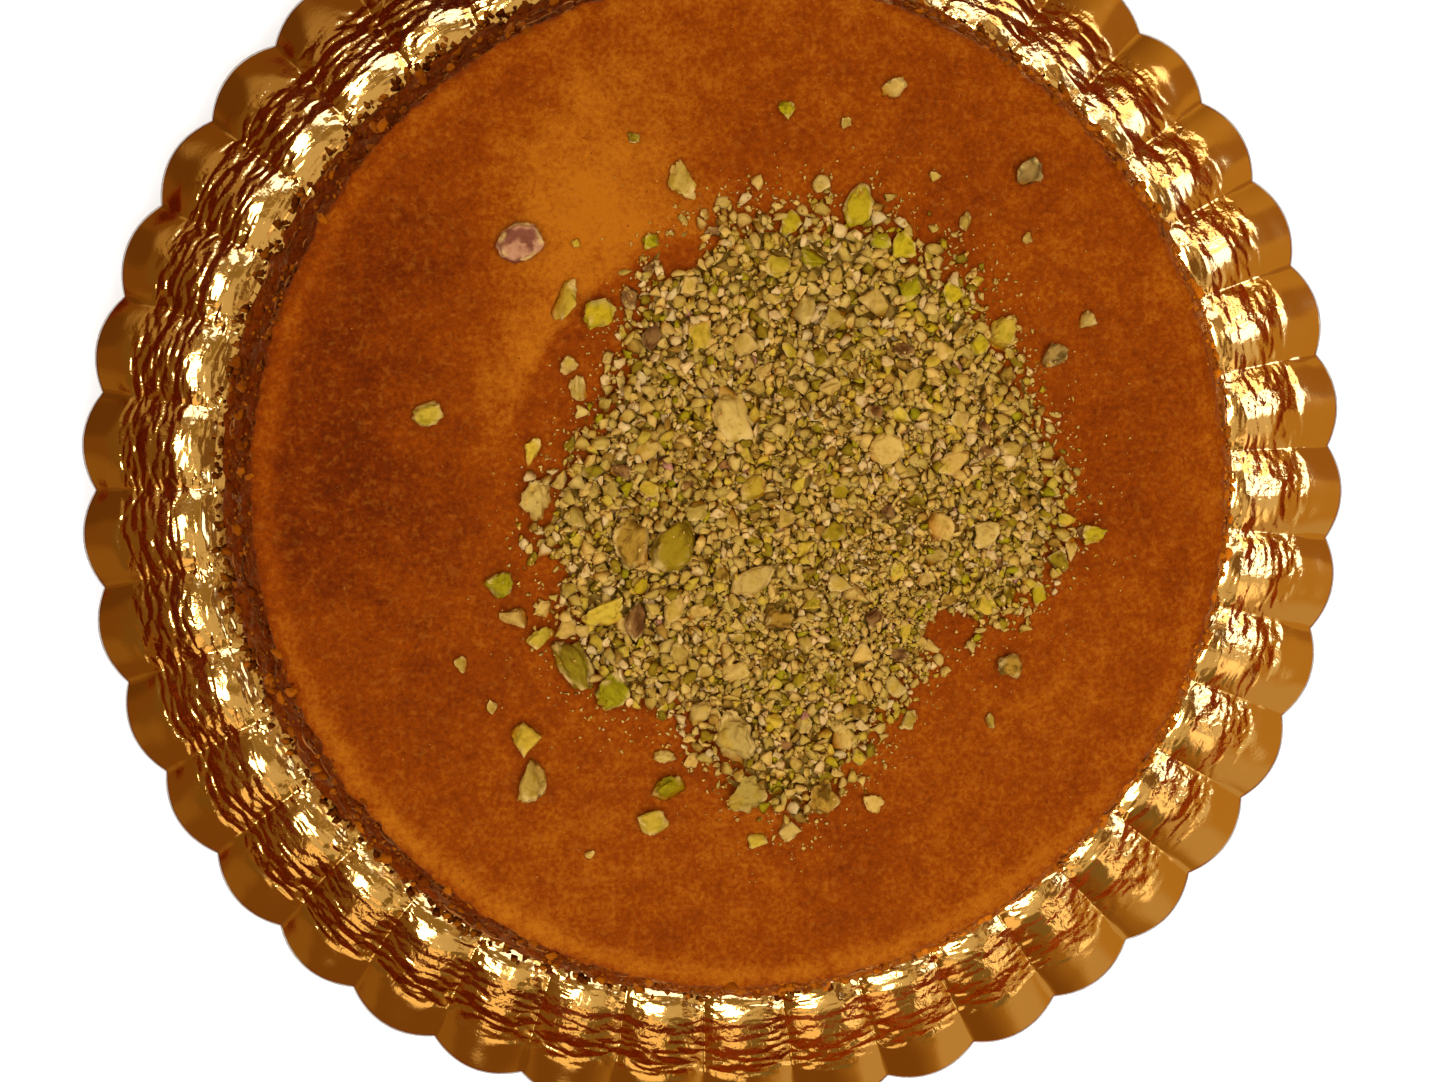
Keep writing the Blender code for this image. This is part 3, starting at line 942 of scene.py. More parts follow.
@dataclass
class Kunafa:
    """The cake: crusted top, soft shoulder and crumbly wall."""

    centre: tuple[float, float] = (2.9, 0.7)
    top: float = 25.0
    bottom: float = 1.5
    base_radii: tuple[float, float] = (122.5, 124.4)
    crust_radii: tuple[float, float] = (113.7, 116.8)
    shoulder_inset: float = 4.0
    shoulder_drop: float = 1.0
    foot_height: float = 3.2
    foot_tuck: float = 2.0
    columns: int = 760
    fine_band: float = 56.0
    top_waves: tuple[Wave, ...] = (Wave(0.22, 30.0, 31), Wave(0.10, 9.0, 32), Wave(0.07, 2.3, 33))
    crag_waves: tuple[Wave, ...] = (Wave(1.0, 6.5, 41), Wave(0.9, 2.9, 42), Wave(0.35, 1.3, 43))
    hollow_wave: Wave = Wave(1.0, 4.2, 44)
    hollow_span: Span = (0.10, 0.45)
    hollow_depth: float = 2.4
    crag_set_back: float = 0.45
    roughest: float = math.radians(190.0)
    nibble: Wave = Wave(1.2, 3.6, 45, 3)
    nibble_reach: float = 1.5
    plain_tone: float = 0.52
    rim_tone: float = 0.13
    # Wall tones: wall_tone is browned crust and painted shade; sunlit_tone is painted light on the
    # side that faces the key light.
    wall_tone: float = 0.26
    sunlit_tone: float = 0.40
    foot_tone: float = 0.08
    sunlit_span: Span = (-0.35, 0.75)
    tone_wave: Wave = Wave(0.10, 34.0, 51, 3)
    rim_inset: float = 3.2
    rim_width: float = 2.6
    middle_tone: float = 0.5
    under_tone: float = 0.4
    spots: list[ToneSpot] = field(
        default_factory=lambda: [
            ToneSpot(-98, 0, 42, -0.20),
            ToneSpot(-80, 50, 30, -0.10),
            ToneSpot(-60, 92, 24, -0.08),
            ToneSpot(-34, 62, 24, 0.34),
            ToneSpot(-46, 28, 18, 0.22),
            ToneSpot(-20, 95, 22, 0.06),
            ToneSpot(-30, -85, 30, 0.05),
            ToneSpot(60, -80, 34, 0.05),
            ToneSpot(96, 10, 28, -0.03),
        ]
    )

    def semi_axes(self, share: Array, inset: Array) -> tuple[Array, Array]:
        """Half widths along X and Y between the crust and the base, less an inset."""
        pairs = zip(self.crust_radii, self.base_radii)
        return tuple((1.0 - share) * crust + share * base - inset for crust, base in pairs)

    def top_relief(self, x: Array, y: Array) -> Array:
        """Rise of the crust over its level at places of the top."""
        return sum(wave.at(flat(x, y)) for wave in self.top_waves)

    def top_height(self, x: Array, y: Array) -> Array:
        """Height of the crust at places of the top."""
        return self.top + self.top_relief(x, y)

    def outline(self) -> Array:
        """Rings of the fine band and the wall.

        Returns:
            Their rows, as (share, inset, height).
        """
        insets = np.concatenate([np.arange(self.fine_band, 6.0, -1.0), np.arange(6.0, 0.0, -0.6)])
        bend = np.clip(1.0 - insets / self.shoulder_inset, 0.0, 1.0)
        levels = self.top - self.shoulder_drop * bend**2
        top = np.stack([np.zeros_like(insets), insets, levels], axis=1)
        wall_top = self.top - self.shoulder_drop
        foot = self.bottom + self.foot_height
        shares = np.linspace(0.0, 1.0, 27)
        wall = np.stack([shares, np.zeros_like(shares), wall_top + shares * (foot - wall_top)], axis=1)
        drops = np.linspace(0.25, 1.0, 4)
        tuck = np.stack(
            [np.ones_like(drops), self.foot_tuck * drops**2, foot - self.foot_height * drops], axis=1
        )
        return np.concatenate([top, wall, tuck])

    def crags(self, points: Array, angles: Array) -> Array:
        """How far the crumbly wall stands out or in.

        Args:
            points: Points of the plain wall.
            angles: Their angles about the centre.

        Returns:
            The outward move of each point in millimetres.
        """
        rough = 0.75 + 0.25 * np.cos(angles - self.roughest)
        hollow = self.hollow_depth * smoothstep(*self.hollow_span, self.hollow_wave.at(points))
        return rough * (sum(wave.at(points) for wave in self.crag_waves) - hollow - self.crag_set_back)

    def tone(self, x: Array, y: Array, share: Array, inset: Array) -> Array:
        """Tone of the crust.

        Args:
            x: Places along X.
            y: Places along Y.
            share: Shares of the way down the wall.
            inset: Distances in from the crust's edge.

        Returns:
            The tone at each place, from burnt at 0 to pale at 1.
        """
        tone = self.plain_tone + self.tone_wave.at(flat(x, y))
        for spot in self.spots:
            gap = np.hypot(x - spot.x, y - spot.y) / spot.reach
            tone += spot.amount * np.exp(-gap * gap)
        rim = np.exp(-(((inset - self.rim_inset) / self.rim_width) ** 2)) * (share <= 0.0)
        tilt = 0.06 * x / self.crust_radii[0] + 0.05 * y / self.crust_radii[1]
        tone += rim * (self.rim_tone - tilt)
        wall = smoothstep(0.0, 0.07, share)
        foot = smoothstep(0.50, 0.72, share)
        # Painted light and shade on the wall: darker than the top, partly as browned crust and partly
        # as painted shade; paler as painted light on the side that faces the key light; a little paler
        # at the foot on the other side.
        away = np.hypot(x, y) + 1e-6
        sunlit = smoothstep(*self.sunlit_span, (x - 0.25 * y) / away)
        browned = self.wall_tone + self.sunlit_tone * sunlit + self.foot_tone * foot * (1.0 - sunlit)
        return tone * (1.0 - wall) + wall * browned

    def build_body(self, crust: Material) -> Object:
        """Makes the closed body of the cake with its crumbly wall.

        Args:
            crust: Finish of the crust.

        Returns:
            The cake's body.
        """
        rings = self.outline()
        turn = np.arange(self.columns) / self.columns * math.tau
        share = np.repeat(rings[:, 0][:, None], self.columns, axis=1)
        inset = np.repeat(rings[:, 1][:, None], self.columns, axis=1)
        height = np.repeat(rings[:, 2][:, None], self.columns, axis=1)
        semi_x, semi_y = self.semi_axes(share, inset)
        angle = np.repeat(turn[None, :], len(rings), axis=0)
        plain = np.stack([semi_x * np.cos(angle), semi_y * np.sin(angle), height], axis=-1)
        plain = plain.reshape(-1, 3)
        flat_share = share.ravel()
        flat_inset = inset.ravel()
        flat_angle = angle.ravel()
        on_top = flat_share <= 0.0
        weight = smoothstep(0.0, 0.12, flat_share) * (1.0 - smoothstep(0.0, 1.6, flat_inset))
        weight = np.where(on_top, 0.0, weight)
        calm_foot = 1.0 - 0.25 * smoothstep(0.86, 1.0, flat_share)
        move = self.crags(plain, flat_angle) * weight * calm_foot
        move += on_top * np.exp(-((flat_inset / self.nibble_reach) ** 2)) * self.nibble.at(plain)
        points = plain.copy()
        points[:, 0] += move * np.cos(flat_angle) + self.centre[0]
        points[:, 1] += move * np.sin(flat_angle) + self.centre[1]
        relief = self.top_relief(points[:, 0], points[:, 1])
        points[:, 2] += relief * (1.0 - smoothstep(0.0, 0.15, flat_share))
        tone = self.tone(points[:, 0], points[:, 1], flat_share, flat_inset)
        faces = [strip_faces(len(rings), self.columns)]
        inner, inner_tone, inner_faces = self.build_inner_top(len(points))
        bottom_ring = np.arange(self.columns) + (len(rings) - 1) * self.columns
        middle = len(points) + len(inner)
        faces += inner_faces + [fan_faces(middle, bottom_ring[::-1])]
        points = np.concatenate([points, inner, [(*self.centre, self.bottom)]])
        body = mesh_object("kunafa_body", points, faces, [crust])
        store(body, "tone", np.concatenate([tone, inner_tone, [self.under_tone]]))
        return body

    def build_inner_top(self, start: int) -> tuple[Array, Array, list[Array]]:
        """The coarser middle of the top, under the heap.

        Args:
            start: Index of its first point.

        Returns:
            Its points, their tones and its faces, joined to the fine band's first ring.
        """
        columns = self.columns // 4
        turn = np.arange(columns) / columns * math.tau
        insets = np.arange(self.fine_band + 3.0, min(self.crust_radii) - 4.0, 4.0)
        loops = []
        for inset in insets:
            semi_x, semi_y = self.semi_axes(np.array(0.0), np.array(inset))
            x = semi_x * np.cos(turn) + self.centre[0]
            y = semi_y * np.sin(turn) + self.centre[1]
            loops.append(np.stack([x, y, self.top_height(x, y)], axis=1))
        middle = np.array([(*self.centre, self.top)])
        points = np.concatenate(loops[::-1] + [middle])
        outer = (len(loops) - 1) * columns + start
        stitches = []
        for step in range(columns):
            coarse = outer + step
            after = outer + (step + 1) % columns
            fine = [(4 * step + k) % self.columns for k in range(5)]
            stitches += [(coarse, fine[0], fine[1]), (coarse, fine[1], fine[2])]
            stitches += [(coarse, fine[2], after), (after, fine[2], fine[3])]
            stitches += [(after, fine[3], fine[4])]
        band = strip_faces(len(loops), columns, start)
        fan = fan_faces(start + len(loops) * columns, start + np.arange(columns))
        tones = np.full(len(points), self.middle_tone)
        return points, tones, [band, np.concatenate([fan, np.array(stitches)])]


# ---- chopped pieces


class Shape(Enum):
    """How a nut piece was cut."""

    CHOP = "angular chop"
    HALF = "half kernel"
    SLICE = "cross slice"
    CLUMP = "rough clump"

    @property
    def roughness(self) -> Span:
        """Height of the broad and of the fine relief on a piece one unit across."""
        rough = {Shape.CLUMP: (0.17, 0.13), Shape.CHOP: (0.14, 0.08), Shape.HALF: (0.09, 0.06)}
        return rough.get(self, (0.05, 0.05))


class Kind(Enum):
    """What a nut piece shows: its colour and that of its skin patches."""

    CREAM = ((0.72, 0.47, 0.135), (0.60, 0.38, 0.08), 0.15)
    PALE = ((0.64, 0.395, 0.070), (0.50, 0.30, 0.036), 0.25)
    KHAKI = ((0.53, 0.33, 0.046), (0.38, 0.22, 0.020), 0.32)
    YELLOW = ((0.58, 0.365, 0.030), (0.40, 0.27, 0.014), 0.30)
    LIME = ((0.48, 0.32, 0.010), (0.33, 0.23, 0.006), 0.30)
    GREEN = ((0.36, 0.27, 0.006), (0.22, 0.17, 0.003), 0.35)
    OLIVE = ((0.30, 0.19, 0.008), (0.15, 0.080, 0.004), 0.45)
    SKIN = ((0.50, 0.22, 0.10), (0.22, 0.065, 0.032), 0.50)
    MAUVE = ((0.28, 0.125, 0.030), (0.12, 0.042, 0.009), 0.50)
    BROWN = ((0.38, 0.20, 0.022), (0.15, 0.065, 0.006), 0.50)
    GREY = ((0.38, 0.21, 0.045), (0.13, 0.065, 0.012), 0.50)


BIT_CHANCES = {
    Kind.CREAM: 0.13, Kind.PALE: 0.32, Kind.KHAKI: 0.30, Kind.YELLOW: 0.08, Kind.LIME: 0.02,
    Kind.GREEN: 0.02, Kind.OLIVE: 0.06, Kind.SKIN: 0.004, Kind.BROWN: 0.066,
}
LEAST_TRIANGLES = 230
MIDDLING_KINDS = (
    Kind.PALE, Kind.KHAKI, Kind.PALE, Kind.KHAKI, Kind.YELLOW, Kind.OLIVE, Kind.BROWN, Kind.OLIVE,
    Kind.MAUVE,
)


@dataclass
class Piece:
    """A larger nut piece, listed one by one: middle, length, width, turn in degrees, look and cut."""

    x: float
    y: float
    length: float
    width: float
    turn: float
    kind: Kind
    shape: Shape = Shape.CHOP
    thick: float = 0.62


def split_faces(points: Array, faces: Array) -> Form:
    """Splits each triangle of a closed mesh into four.

    Args:
        points: The mesh's points.
        faces: Its triangles.

    Returns:
        The new points and triangles.
    """
    ends = np.concatenate([faces[:, [0, 1]], faces[:, [1, 2]], faces[:, [2, 0]]])
    pairs, place = np.unique(np.sort(ends, axis=1), axis=0, return_inverse=True)
    middles = len(points) + place.reshape(3, -1)
    a, b, c = faces.T
    ab, bc, ca = middles
    groups = [(a, ab, ca), (ab, b, bc), (ca, bc, c), (ab, bc, ca)]
    fresh = np.concatenate([points, points[pairs].mean(axis=1)])
    return fresh, np.concatenate([np.stack(group, axis=1) for group in groups])


def hull(cloud: Array) -> Form:
    """The convex hull of a cloud of points.

    Args:
        cloud: The points.

    Returns:
        Its points and triangles.
    """
    builder = bmesh.new()
    for point in cloud:
        builder.verts.new(point)
    result = bmesh.ops.convex_hull(builder, input=builder.verts)
    spare = [item for item in result["geom_interior"] if isinstance(item, bmesh.types.BMVert)]
    bmesh.ops.delete(builder, geom=spare, context="VERTS")
    bmesh.ops.triangulate(builder, faces=builder.faces)
    bmesh.ops.recalc_face_normals(builder, faces=builder.faces)
    builder.verts.index_update()
    points = np.array([vertex.co for vertex in builder.verts])
    faces = np.array([[vertex.index for vertex in face.verts] for face in builder.faces])
    builder.free()
    return points, faces


class Chopper:
    """Makes the shapes of chopped pieces, each about one unit across."""

    def __init__(self, seed: int) -> None:
        """Starts its own seeded draw."""
        self.rng = np.random.default_rng(seed)

    def chop(self, corners: int, boxy: float = 0.35) -> Form:
        """An angular piece with a given number of corners, half way to a box when boxy is 1."""
        cloud = self.rng.normal(size=(corners, 3))
        cloud /= np.linalg.norm(cloud, axis=1)[:, None]
        cube = cloud / np.abs(cloud).max(axis=1)[:, None] * 0.8
        cloud = ((1 - boxy) * cloud + boxy * cube) * self.rng.uniform(0.8, 1.05, (corners, 1))
        return hull(cloud * 0.5)

    def pebble(self, corners: int, boxy: float, soft: float) -> Form:
        """A chopped piece with its corners worn, rounder as soft nears 1."""
        points, faces = split_faces(*self.chop(corners, boxy))
        span = np.linalg.norm(points, axis=1)[:, None]
        return self.true_size(points * (1.0 + soft * (span.mean() / span - 1.0))), faces

    def worked(self, shape: Shape, least: int) -> Form:
        """A larger piece with a worked surface.

        Args:
            shape: How it is cut.
            least: Fewest triangles that it has.

        Returns:
            Its points and triangles.
        """
        if shape is Shape.CHOP:
            points, faces = self.pebble(int(self.rng.integers(9, 13)), 0.65, 0.15)
        elif shape is Shape.CLUMP:
            points, faces = self.pebble(16, 0.3, 0.3)
        else:
            points, faces = split_faces(*hull(self.kernel(shape)))
        while len(faces) < least:
            points, faces = split_faces(points, faces)
        outward = points / np.linalg.norm(points, axis=1)[:, None]
        seed = int(self.rng.integers(1, 9000))
        broad, fine = shape.roughness
        push = broad * lattice_noise(points * 2.4 + seed * 0.17, seed)
        push += fine * layered_noise(points * 6.5 + seed * 0.29, seed + 1, 2)
        return self.true_size(points + outward * push[:, None]), faces

    def true_size(self, points: Array) -> Array:
        """The points, moved and stretched to one unit each way."""
        low = points.min(axis=0)
        high = points.max(axis=0)
        return (points - 0.5 * (low + high)) / (high - low)

    def kernel(self, shape: Shape) -> Array:
        """A cloud of points of a half kernel or a cross slice.

        Args:
            shape: Which of the two.

        Returns:
            The points.
        """
        turn = np.arange(18) / 18 * math.tau
        rings = [(0.30, 0.39), (0.66, 0.36), (0.92, 0.28), (1.0, 0.0), (0.90, -0.34)]
        if shape is Shape.HALF:
            rings = [(0.70, 0.34), (1.0, 0.05), (0.85, -0.28), (0.40, -0.46)]
        circle = 0.5 * np.stack([np.cos(turn), np.sin(turn)], axis=1)
        cloud = np.concatenate([np.insert(span * circle, 2, height, axis=1) for span, height in rings])
        if shape is Shape.HALF:
            ends = np.abs(cloud[:, 0]) * 2.0
            cloud[:, 1] *= (1.0 - 0.5 * ends**2.5) * (1.0 - 0.6 * cloud[:, 0])
        return cloud + self.rng.uniform(-0.04, 0.04, cloud.shape)


@dataclass
class Pile:
    """Height of what lies on the crust, so that each new piece comes to rest on it."""

    cake: Kunafa
    reach: float = 118.0
    cell: float = 0.35
    ceiling: float = 32.9

    def __post_init__(self) -> None:
        """Starts from the bare crust."""
        self.count = int(2 * self.reach / self.cell)
        axis = (np.arange(self.count) + 0.5) * self.cell - self.reach
        self.x, self.y = np.meshgrid(axis, axis, indexing="ij")
        level = self.cake.top_height(self.x.ravel(), self.y.ravel())
        self.height = level.reshape(self.x.shape)

    def window(self, x: float, y: float, reach: float) -> tuple[slice, slice]:
        """The cells around a place."""
        low_x = max(0, int((x - reach + self.reach) / self.cell))
        low_y = max(0, int((y - reach + self.reach) / self.cell))
        high_x = min(self.count, int((x + reach + self.reach) / self.cell) + 2)
        high_y = min(self.count, int((y + reach + self.reach) / self.cell) + 2)
        return slice(low_x, high_x), slice(low_y, high_y)

    def level(self, place: tuple[float, float]) -> float:
        """The height at a place."""
        return float(self.height[tuple(int((value + self.reach) / self.cell) for value in place)])

    def rest(
        self, x: float, y: float, size: tuple[float, float, float], turn: float, sink: float
    ) -> tuple[float, float, float]:
        """Lays a piece down.

        Args:
            x: Its middle.
            y: Its middle.
            size: Length, width and height.
            turn: Heading of its length in radians.
            sink: Share of its height by which it settles among its neighbours.

        Returns:
            The height of its middle and the slopes along X and Y of what it lies on.
        """
        where = self.window(x, y, 0.55 * size[0] + self.cell)
        gap_x = self.x[where] - x
        gap_y = self.y[where] - y
        along = (gap_x * math.cos(turn) + gap_y * math.sin(turn)) / (0.5 * size[0])
        across = (-gap_x * math.sin(turn) + gap_y * math.cos(turn)) / (0.5 * size[1])
        inside = along**2 + across**2
        under = inside < 1.0
        level = self.height[where]
        if not under.any():
            under = inside <= inside.min() + 1e-9
        below = level[under]
        base = 0.7 * below.mean() + 0.3 * below.max()
        middle = min(base + size[2] * (0.5 - sink), self.ceiling - 0.55 * size[2])
        cap = middle + 0.46 * size[2] * np.sqrt(np.clip(1.0 - inside, 0.0, 1.0))
        self.height[where] = np.where(under, np.maximum(level, cap), level)
        spread_x = gap_x[under]
        spread_y = gap_y[under]
        rise = below - below.mean()
        slope_x = (rise * spread_x).sum() / ((spread_x**2).sum() + 0.05)
        slope_y = (rise * spread_y).sum() / ((spread_y**2).sum() + 0.05)
        return middle, float(slope_x), float(slope_y)


def turning(turn: float, tilt_x: float, tilt_y: float) -> Array:
    """The turn about Z, then the tilts.

    Args:
        turn: Angle about Z in radians.
        tilt_x: Slope along X.
        tilt_y: Slope along Y.

    Returns:
        The 3 x 3 array.
    """
    heading = np.array(
        [[math.cos(turn), -math.sin(turn), 0.0], [math.sin(turn), math.cos(turn), 0.0], [0, 0, 1.0]]
    )
    up = np.array([-tilt_x, -tilt_y, 1.0])
    up /= np.linalg.norm(up)
    side = np.cross((0.0, 1.0, 0.0), up)
    side /= np.linalg.norm(side)
    return np.stack([side, np.cross(up, side), up], axis=1) @ heading


class Batch:
    """Points, faces and colours of many pieces, gathered into one mesh."""

    def __init__(self) -> None:
        """Starts empty."""
        self.points: list[Array] = []
        self.faces: list[Array] = []
        self.colours: list[Array] = []
        self.count = 0

    def add(self, points: Array, faces: Array, colours: Array) -> None:
        """Adds one piece, with a colour for each point."""
        self.points.append(points)
        self.faces.append(faces + self.count)
        self.colours.append(colours)
        self.count += len(points)

    def build(self, name: str, finish: Material, smooth: bool) -> Object:
        """Makes the object.

        Args:
            name: Name of the piece.
            finish: Its material.
            smooth: Whether its faces are shaded smooth.

        Returns:
            The object, with the colours kept as flesh.
        """
        points = np.concatenate(self.points)
        obj = mesh_object(name, points, [np.concatenate(self.faces)], [finish], None, smooth)
        colours = np.concatenate(self.colours)
        store(obj, "flesh", colours)
        return obj


@dataclass(frozen=True)
class Layer:
    """A layer of small bits strewn over the mound.

    Attributes:
        count: How many bits are drawn.
        lengths: Shortest and longest.
        reach: Reach of the bits as a share of the mound's.
        off_large: Chance that a bit keeps off the larger pieces.
        tries: How many places each bit has to roll to.
    """

    count: int
    lengths: Span
    reach: float
    off_large: float
    tries: int = 4


@dataclass
class Nuts:
    """The chopped pistachios: the mound, the pieces in it and the pieces strewn round it."""

    pile: Pile
    centre: tuple[float, float] = (15.0, -6.0)
    level: float = 25.3
    edge_height: float = 1.1
    mound_height: float = 4.2
    lumps: Wave = Wave(0.7, 11.0, 61)
    crumbs: tuple[Wave, ...] = (Wave(0.35, 2.1, 62), Wave(0.2, 1.2, 63))
    sunk: float = 1.7
    set_in: float = 0.4
    skirt_drop: float = 0.9
    # Painted shade: the mound is coloured dark so that it shows as shade in the gaps between the bits.
    mound_crumb_and_shadow_shades: Shades = Shades((0.12, 0.050, 0.003), (0.38, 0.22, 0.035))
    mound_mottle: Wave = Wave(1.0, 1.5, 64)
    reaches: tuple[int, ...] = (
        65, 62, 61, 66, 69, 72, 72, 72,
        69, 58, 53, 56, 62, 61, 62, 62,
        56, 64, 70, 57, 49, 46, 53, 60,
    )
    bits_below: Layer = Layer(2300, (1.7, 4.2), 1.0, 0.0)
    bits_above: Layer = Layer(3000, (1.6, 3.9), 1.04, 0.95, 6)
    fines: Layer = Layer(2200, (0.7, 1.7), 1.1, 0.9, 3)
    dust: int = 1300
    middling: int = 125
    middling_lengths: Span = (3.4, 5.8)
    sink_in_heap: float = 0.25
    sink_on_crust: float = 0.05
    bit_sink: float = 0.18
    bit_patch: float = 0.6
    dust_sink: float = 0.15
    dust_patch: float = 0.2
    fine_from: float = 8.0
    fine_triangles: int = 900
    bit_tint: Colour = (0.98, 0.98, 1.20)
    piece_tint: Colour = (0.88, 0.86, 0.98)
    # Painted shade: the colour that the lower part of each piece is darkened towards.
    underside: Colour = (0.74, 0.40, 0.02)
    raggedness: float = 0.085
    fine_zone: tuple[float, float, float] = (36.0, -24.0, 34.0)
    rim_rise: float = 9.0
    gaps: tuple[tuple[float, float, float], ...] = (
        (-13.0, 55.0, 7.0), (-45.0, -20.0, 5.0), (-22.0, -55.0, 7.0), (50.0, -33.0, 7.0),
    )

    def __post_init__(self) -> None:
        """Starts the seeded draw and the cutting of the pieces."""
        self.rng = np.random.default_rng(SEED + 5)
        self.chopper = Chopper(SEED + 6)
        self.taken: list[Piece] = []

    def reach(self, angle: Array) -> Array:
        """The mound's reach from its centre at angles, on a smooth closed curve.

        Args:
            angle: The angles.

        Returns:
            The reach at each.
        """
        steps = np.array(self.reaches, float)
        place = (angle % math.tau) / math.tau * len(steps)
        index = np.floor(place).astype(int)
        share = place - index
        a, b, c, d = (steps[(index + move) % len(steps)] for move in (-1, 0, 1, 2))
        curve = 2 * a - 5 * b + 4 * c - d + share * (3 * (b - c) + d - a)
        return b + 0.5 * share * (c - a + share * curve)

    def share(self, x: Array, y: Array) -> Array:
        """Distance from the mound's centre as a share of its reach."""
        gap_x = np.asarray(x, float) - self.centre[0]
        gap_y = np.asarray(y, float) - self.centre[1]
        return np.hypot(gap_x, gap_y) / self.reach(np.arctan2(gap_y, gap_x))

    def mound(self, x: Array, y: Array) -> Array:
        """Height of the mound itself at places within its reach.

        Args:
            x: Places along X.
            y: Places along Y.

        Returns:
            The height at each place.
        """
        share = np.clip(self.share(x, y), 0.0, 1.0)
        body = self.edge_height + (self.mound_height - self.edge_height) * (1.0 - share**3)
        lumps = self.lumps.at(flat(x, y))
        crumbs = sum(wave.at(flat(x, y)) for wave in self.crumbs)
        edge = smoothstep(1.0, 0.86, share)
        for gap_x, gap_y, reach in self.gaps:
            edge = edge * smoothstep(0.5, 1.6, np.hypot(x - gap_x, y - gap_y) / reach)
        rise = body - self.sunk + lumps * (1.0 - share**6) + crumbs
        return self.level - self.set_in + rise * edge

    def shade(self, kind: Kind, points: Array, patch: float = 1.0) -> Array:
        """Colours of a piece's points: its flesh with skin patches.

        Args:
            kind: What the piece shows.
            points: Its points before they are laid down.
            patch: How much of its skin patches shows.

        Returns:
            A colour for each point.
        """
        flesh, skin, cover = kind.value
        bright = self.rng.uniform(0.85, 1.12)
        warm = self.rng.uniform(-0.05, 0.05)
        flesh = np.array(flesh) * bright * (1.0 + warm, 1.0, 1.0 - warm)
        if patch < 1.0:
            flesh = np.minimum(flesh * self.bit_tint, 0.92)
        elif kind in (Kind.PALE, Kind.KHAKI):
            flesh = flesh * self.piece_tint
        seed = int(self.rng.integers(1, 9000))
        cloud = lattice_noise(points * 2.2 + seed * 0.37, seed)
        if patch >= 1.0:
            cloud = cloud + 0.45 * lattice_noise(points * 7.0 + seed * 0.37, seed + 7)
        mask = smoothstep(0.42 - cover, 0.72 - cover, cloud) * patch
        colours = flesh + mask[:, None] * (np.array(skin) - flesh)
        if patch < 1.0:
            return colours
        rim = 0.8 * smoothstep(0.33, 0.43, np.hypot(points[:, 0], points[:, 1]))
        rim *= smoothstep(-0.2, 0.3, lattice_noise(points * 3.1 + seed * 0.21, seed + 3))
        return colours + rim[:, None] * (np.array(Kind.CREAM.value[0]) - colours)

    def lay(
        self, batch: Batch, shape: Form, place: tuple[float, float],
        size: tuple[float, float, float], turn: float, kind: Kind, sink: float, patch: float = 1.0,
    ) -> None:
        """Lays one piece on the pile and adds it to a batch.

        Args:
            batch: Where the piece goes.
            shape: Its points and triangles, about one unit across.
            place: Its middle on the crust.
            size: Its length, width and height.
            turn: Its heading in radians.
            kind: What it shows.
            sink: Share of its height by which it settles.
            patch: How much of its skin patches shows.
        """
        points, faces = shape
        middle, slope_x, slope_y = self.pile.rest(*place, size, turn, sink)
        wobble = self.rng.normal(0.0, 0.13, 2)
        slope_x = float(np.clip(slope_x, -0.7, 0.7)) + wobble[0]
        slope_y = float(np.clip(slope_y, -0.7, 0.7)) + wobble[1]
        laid = (points * size) @ turning(turn, slope_x, slope_y).T + (*place, middle)
        # Painted shade: each piece's colour darkens and warms towards its underside, for the shade
        # between the pieces.
        up = smoothstep(-0.75, 0.30, (laid[:, 2] - middle) / (0.5 * size[2]))[:, None]
        colours = self.shade(kind, points, patch) * (up + (1.0 - up) * self.underside)
        batch.add(laid, faces, colours)

    def raise_pile(self) -> None:
        """Puts the mound under the pieces that follow."""
        x, y = self.pile.x.ravel(), self.pile.y.ravel()
        inside = self.share(x, y) < 1.0
        level = self.pile.height.ravel().copy()
        level[inside] = np.maximum(level[inside], self.mound(x[inside], y[inside]))
        self.pile.height = level.reshape(self.pile.x.shape)

    def build_mound(self, finish: Material) -> Object:
        """The heap's own body, a low mound of crumbs, closed beneath, coloured dark as painted shade
        in the gaps between the bits.

        Args:
            finish: Its material.

        Returns:
            The mound.
        """
        columns, rows = 300, 74
        turn = np.arange(columns) / columns * math.tau
        shares = np.sqrt(np.linspace(1.0, 0.001, rows))
        share, angle = np.meshgrid(shares, turn, indexing="ij")
        span = self.reach(angle) * share
        x = (self.centre[0] + span * np.cos(angle)).ravel()
        y = (self.centre[1] + span * np.sin(angle)).ravel()
        points = np.stack([x, y, self.mound(x, y)], axis=1)
        skirt = points[:columns].copy()
        skirt[:, 2] = self.level - self.skirt_drop
        points = np.concatenate([skirt, points])
        middles = [(*self.centre, skirt[0, 2]), (*self.centre, points[-columns:, 2].mean())]
        count = len(points)
        points = np.concatenate([points, middles])
        bottom = fan_faces(count, np.arange(columns)[::-1])
        top = fan_faces(count + 1, count - columns + np.arange(columns))
        faces = [strip_faces(rows + 1, columns)[:, ::-1], np.concatenate([bottom, top])]
        mound = mesh_object("pistachio_mound", points, faces, [finish])
        # Painted shade: dark mound colours, mottled, standing for the shade between the bits.
        shares = smoothstep(-0.35, 0.45, self.mound_mottle.at(points))
        store(mound, "flesh", self.mound_crumb_and_shadow_shades.rows(shares))
        return mound

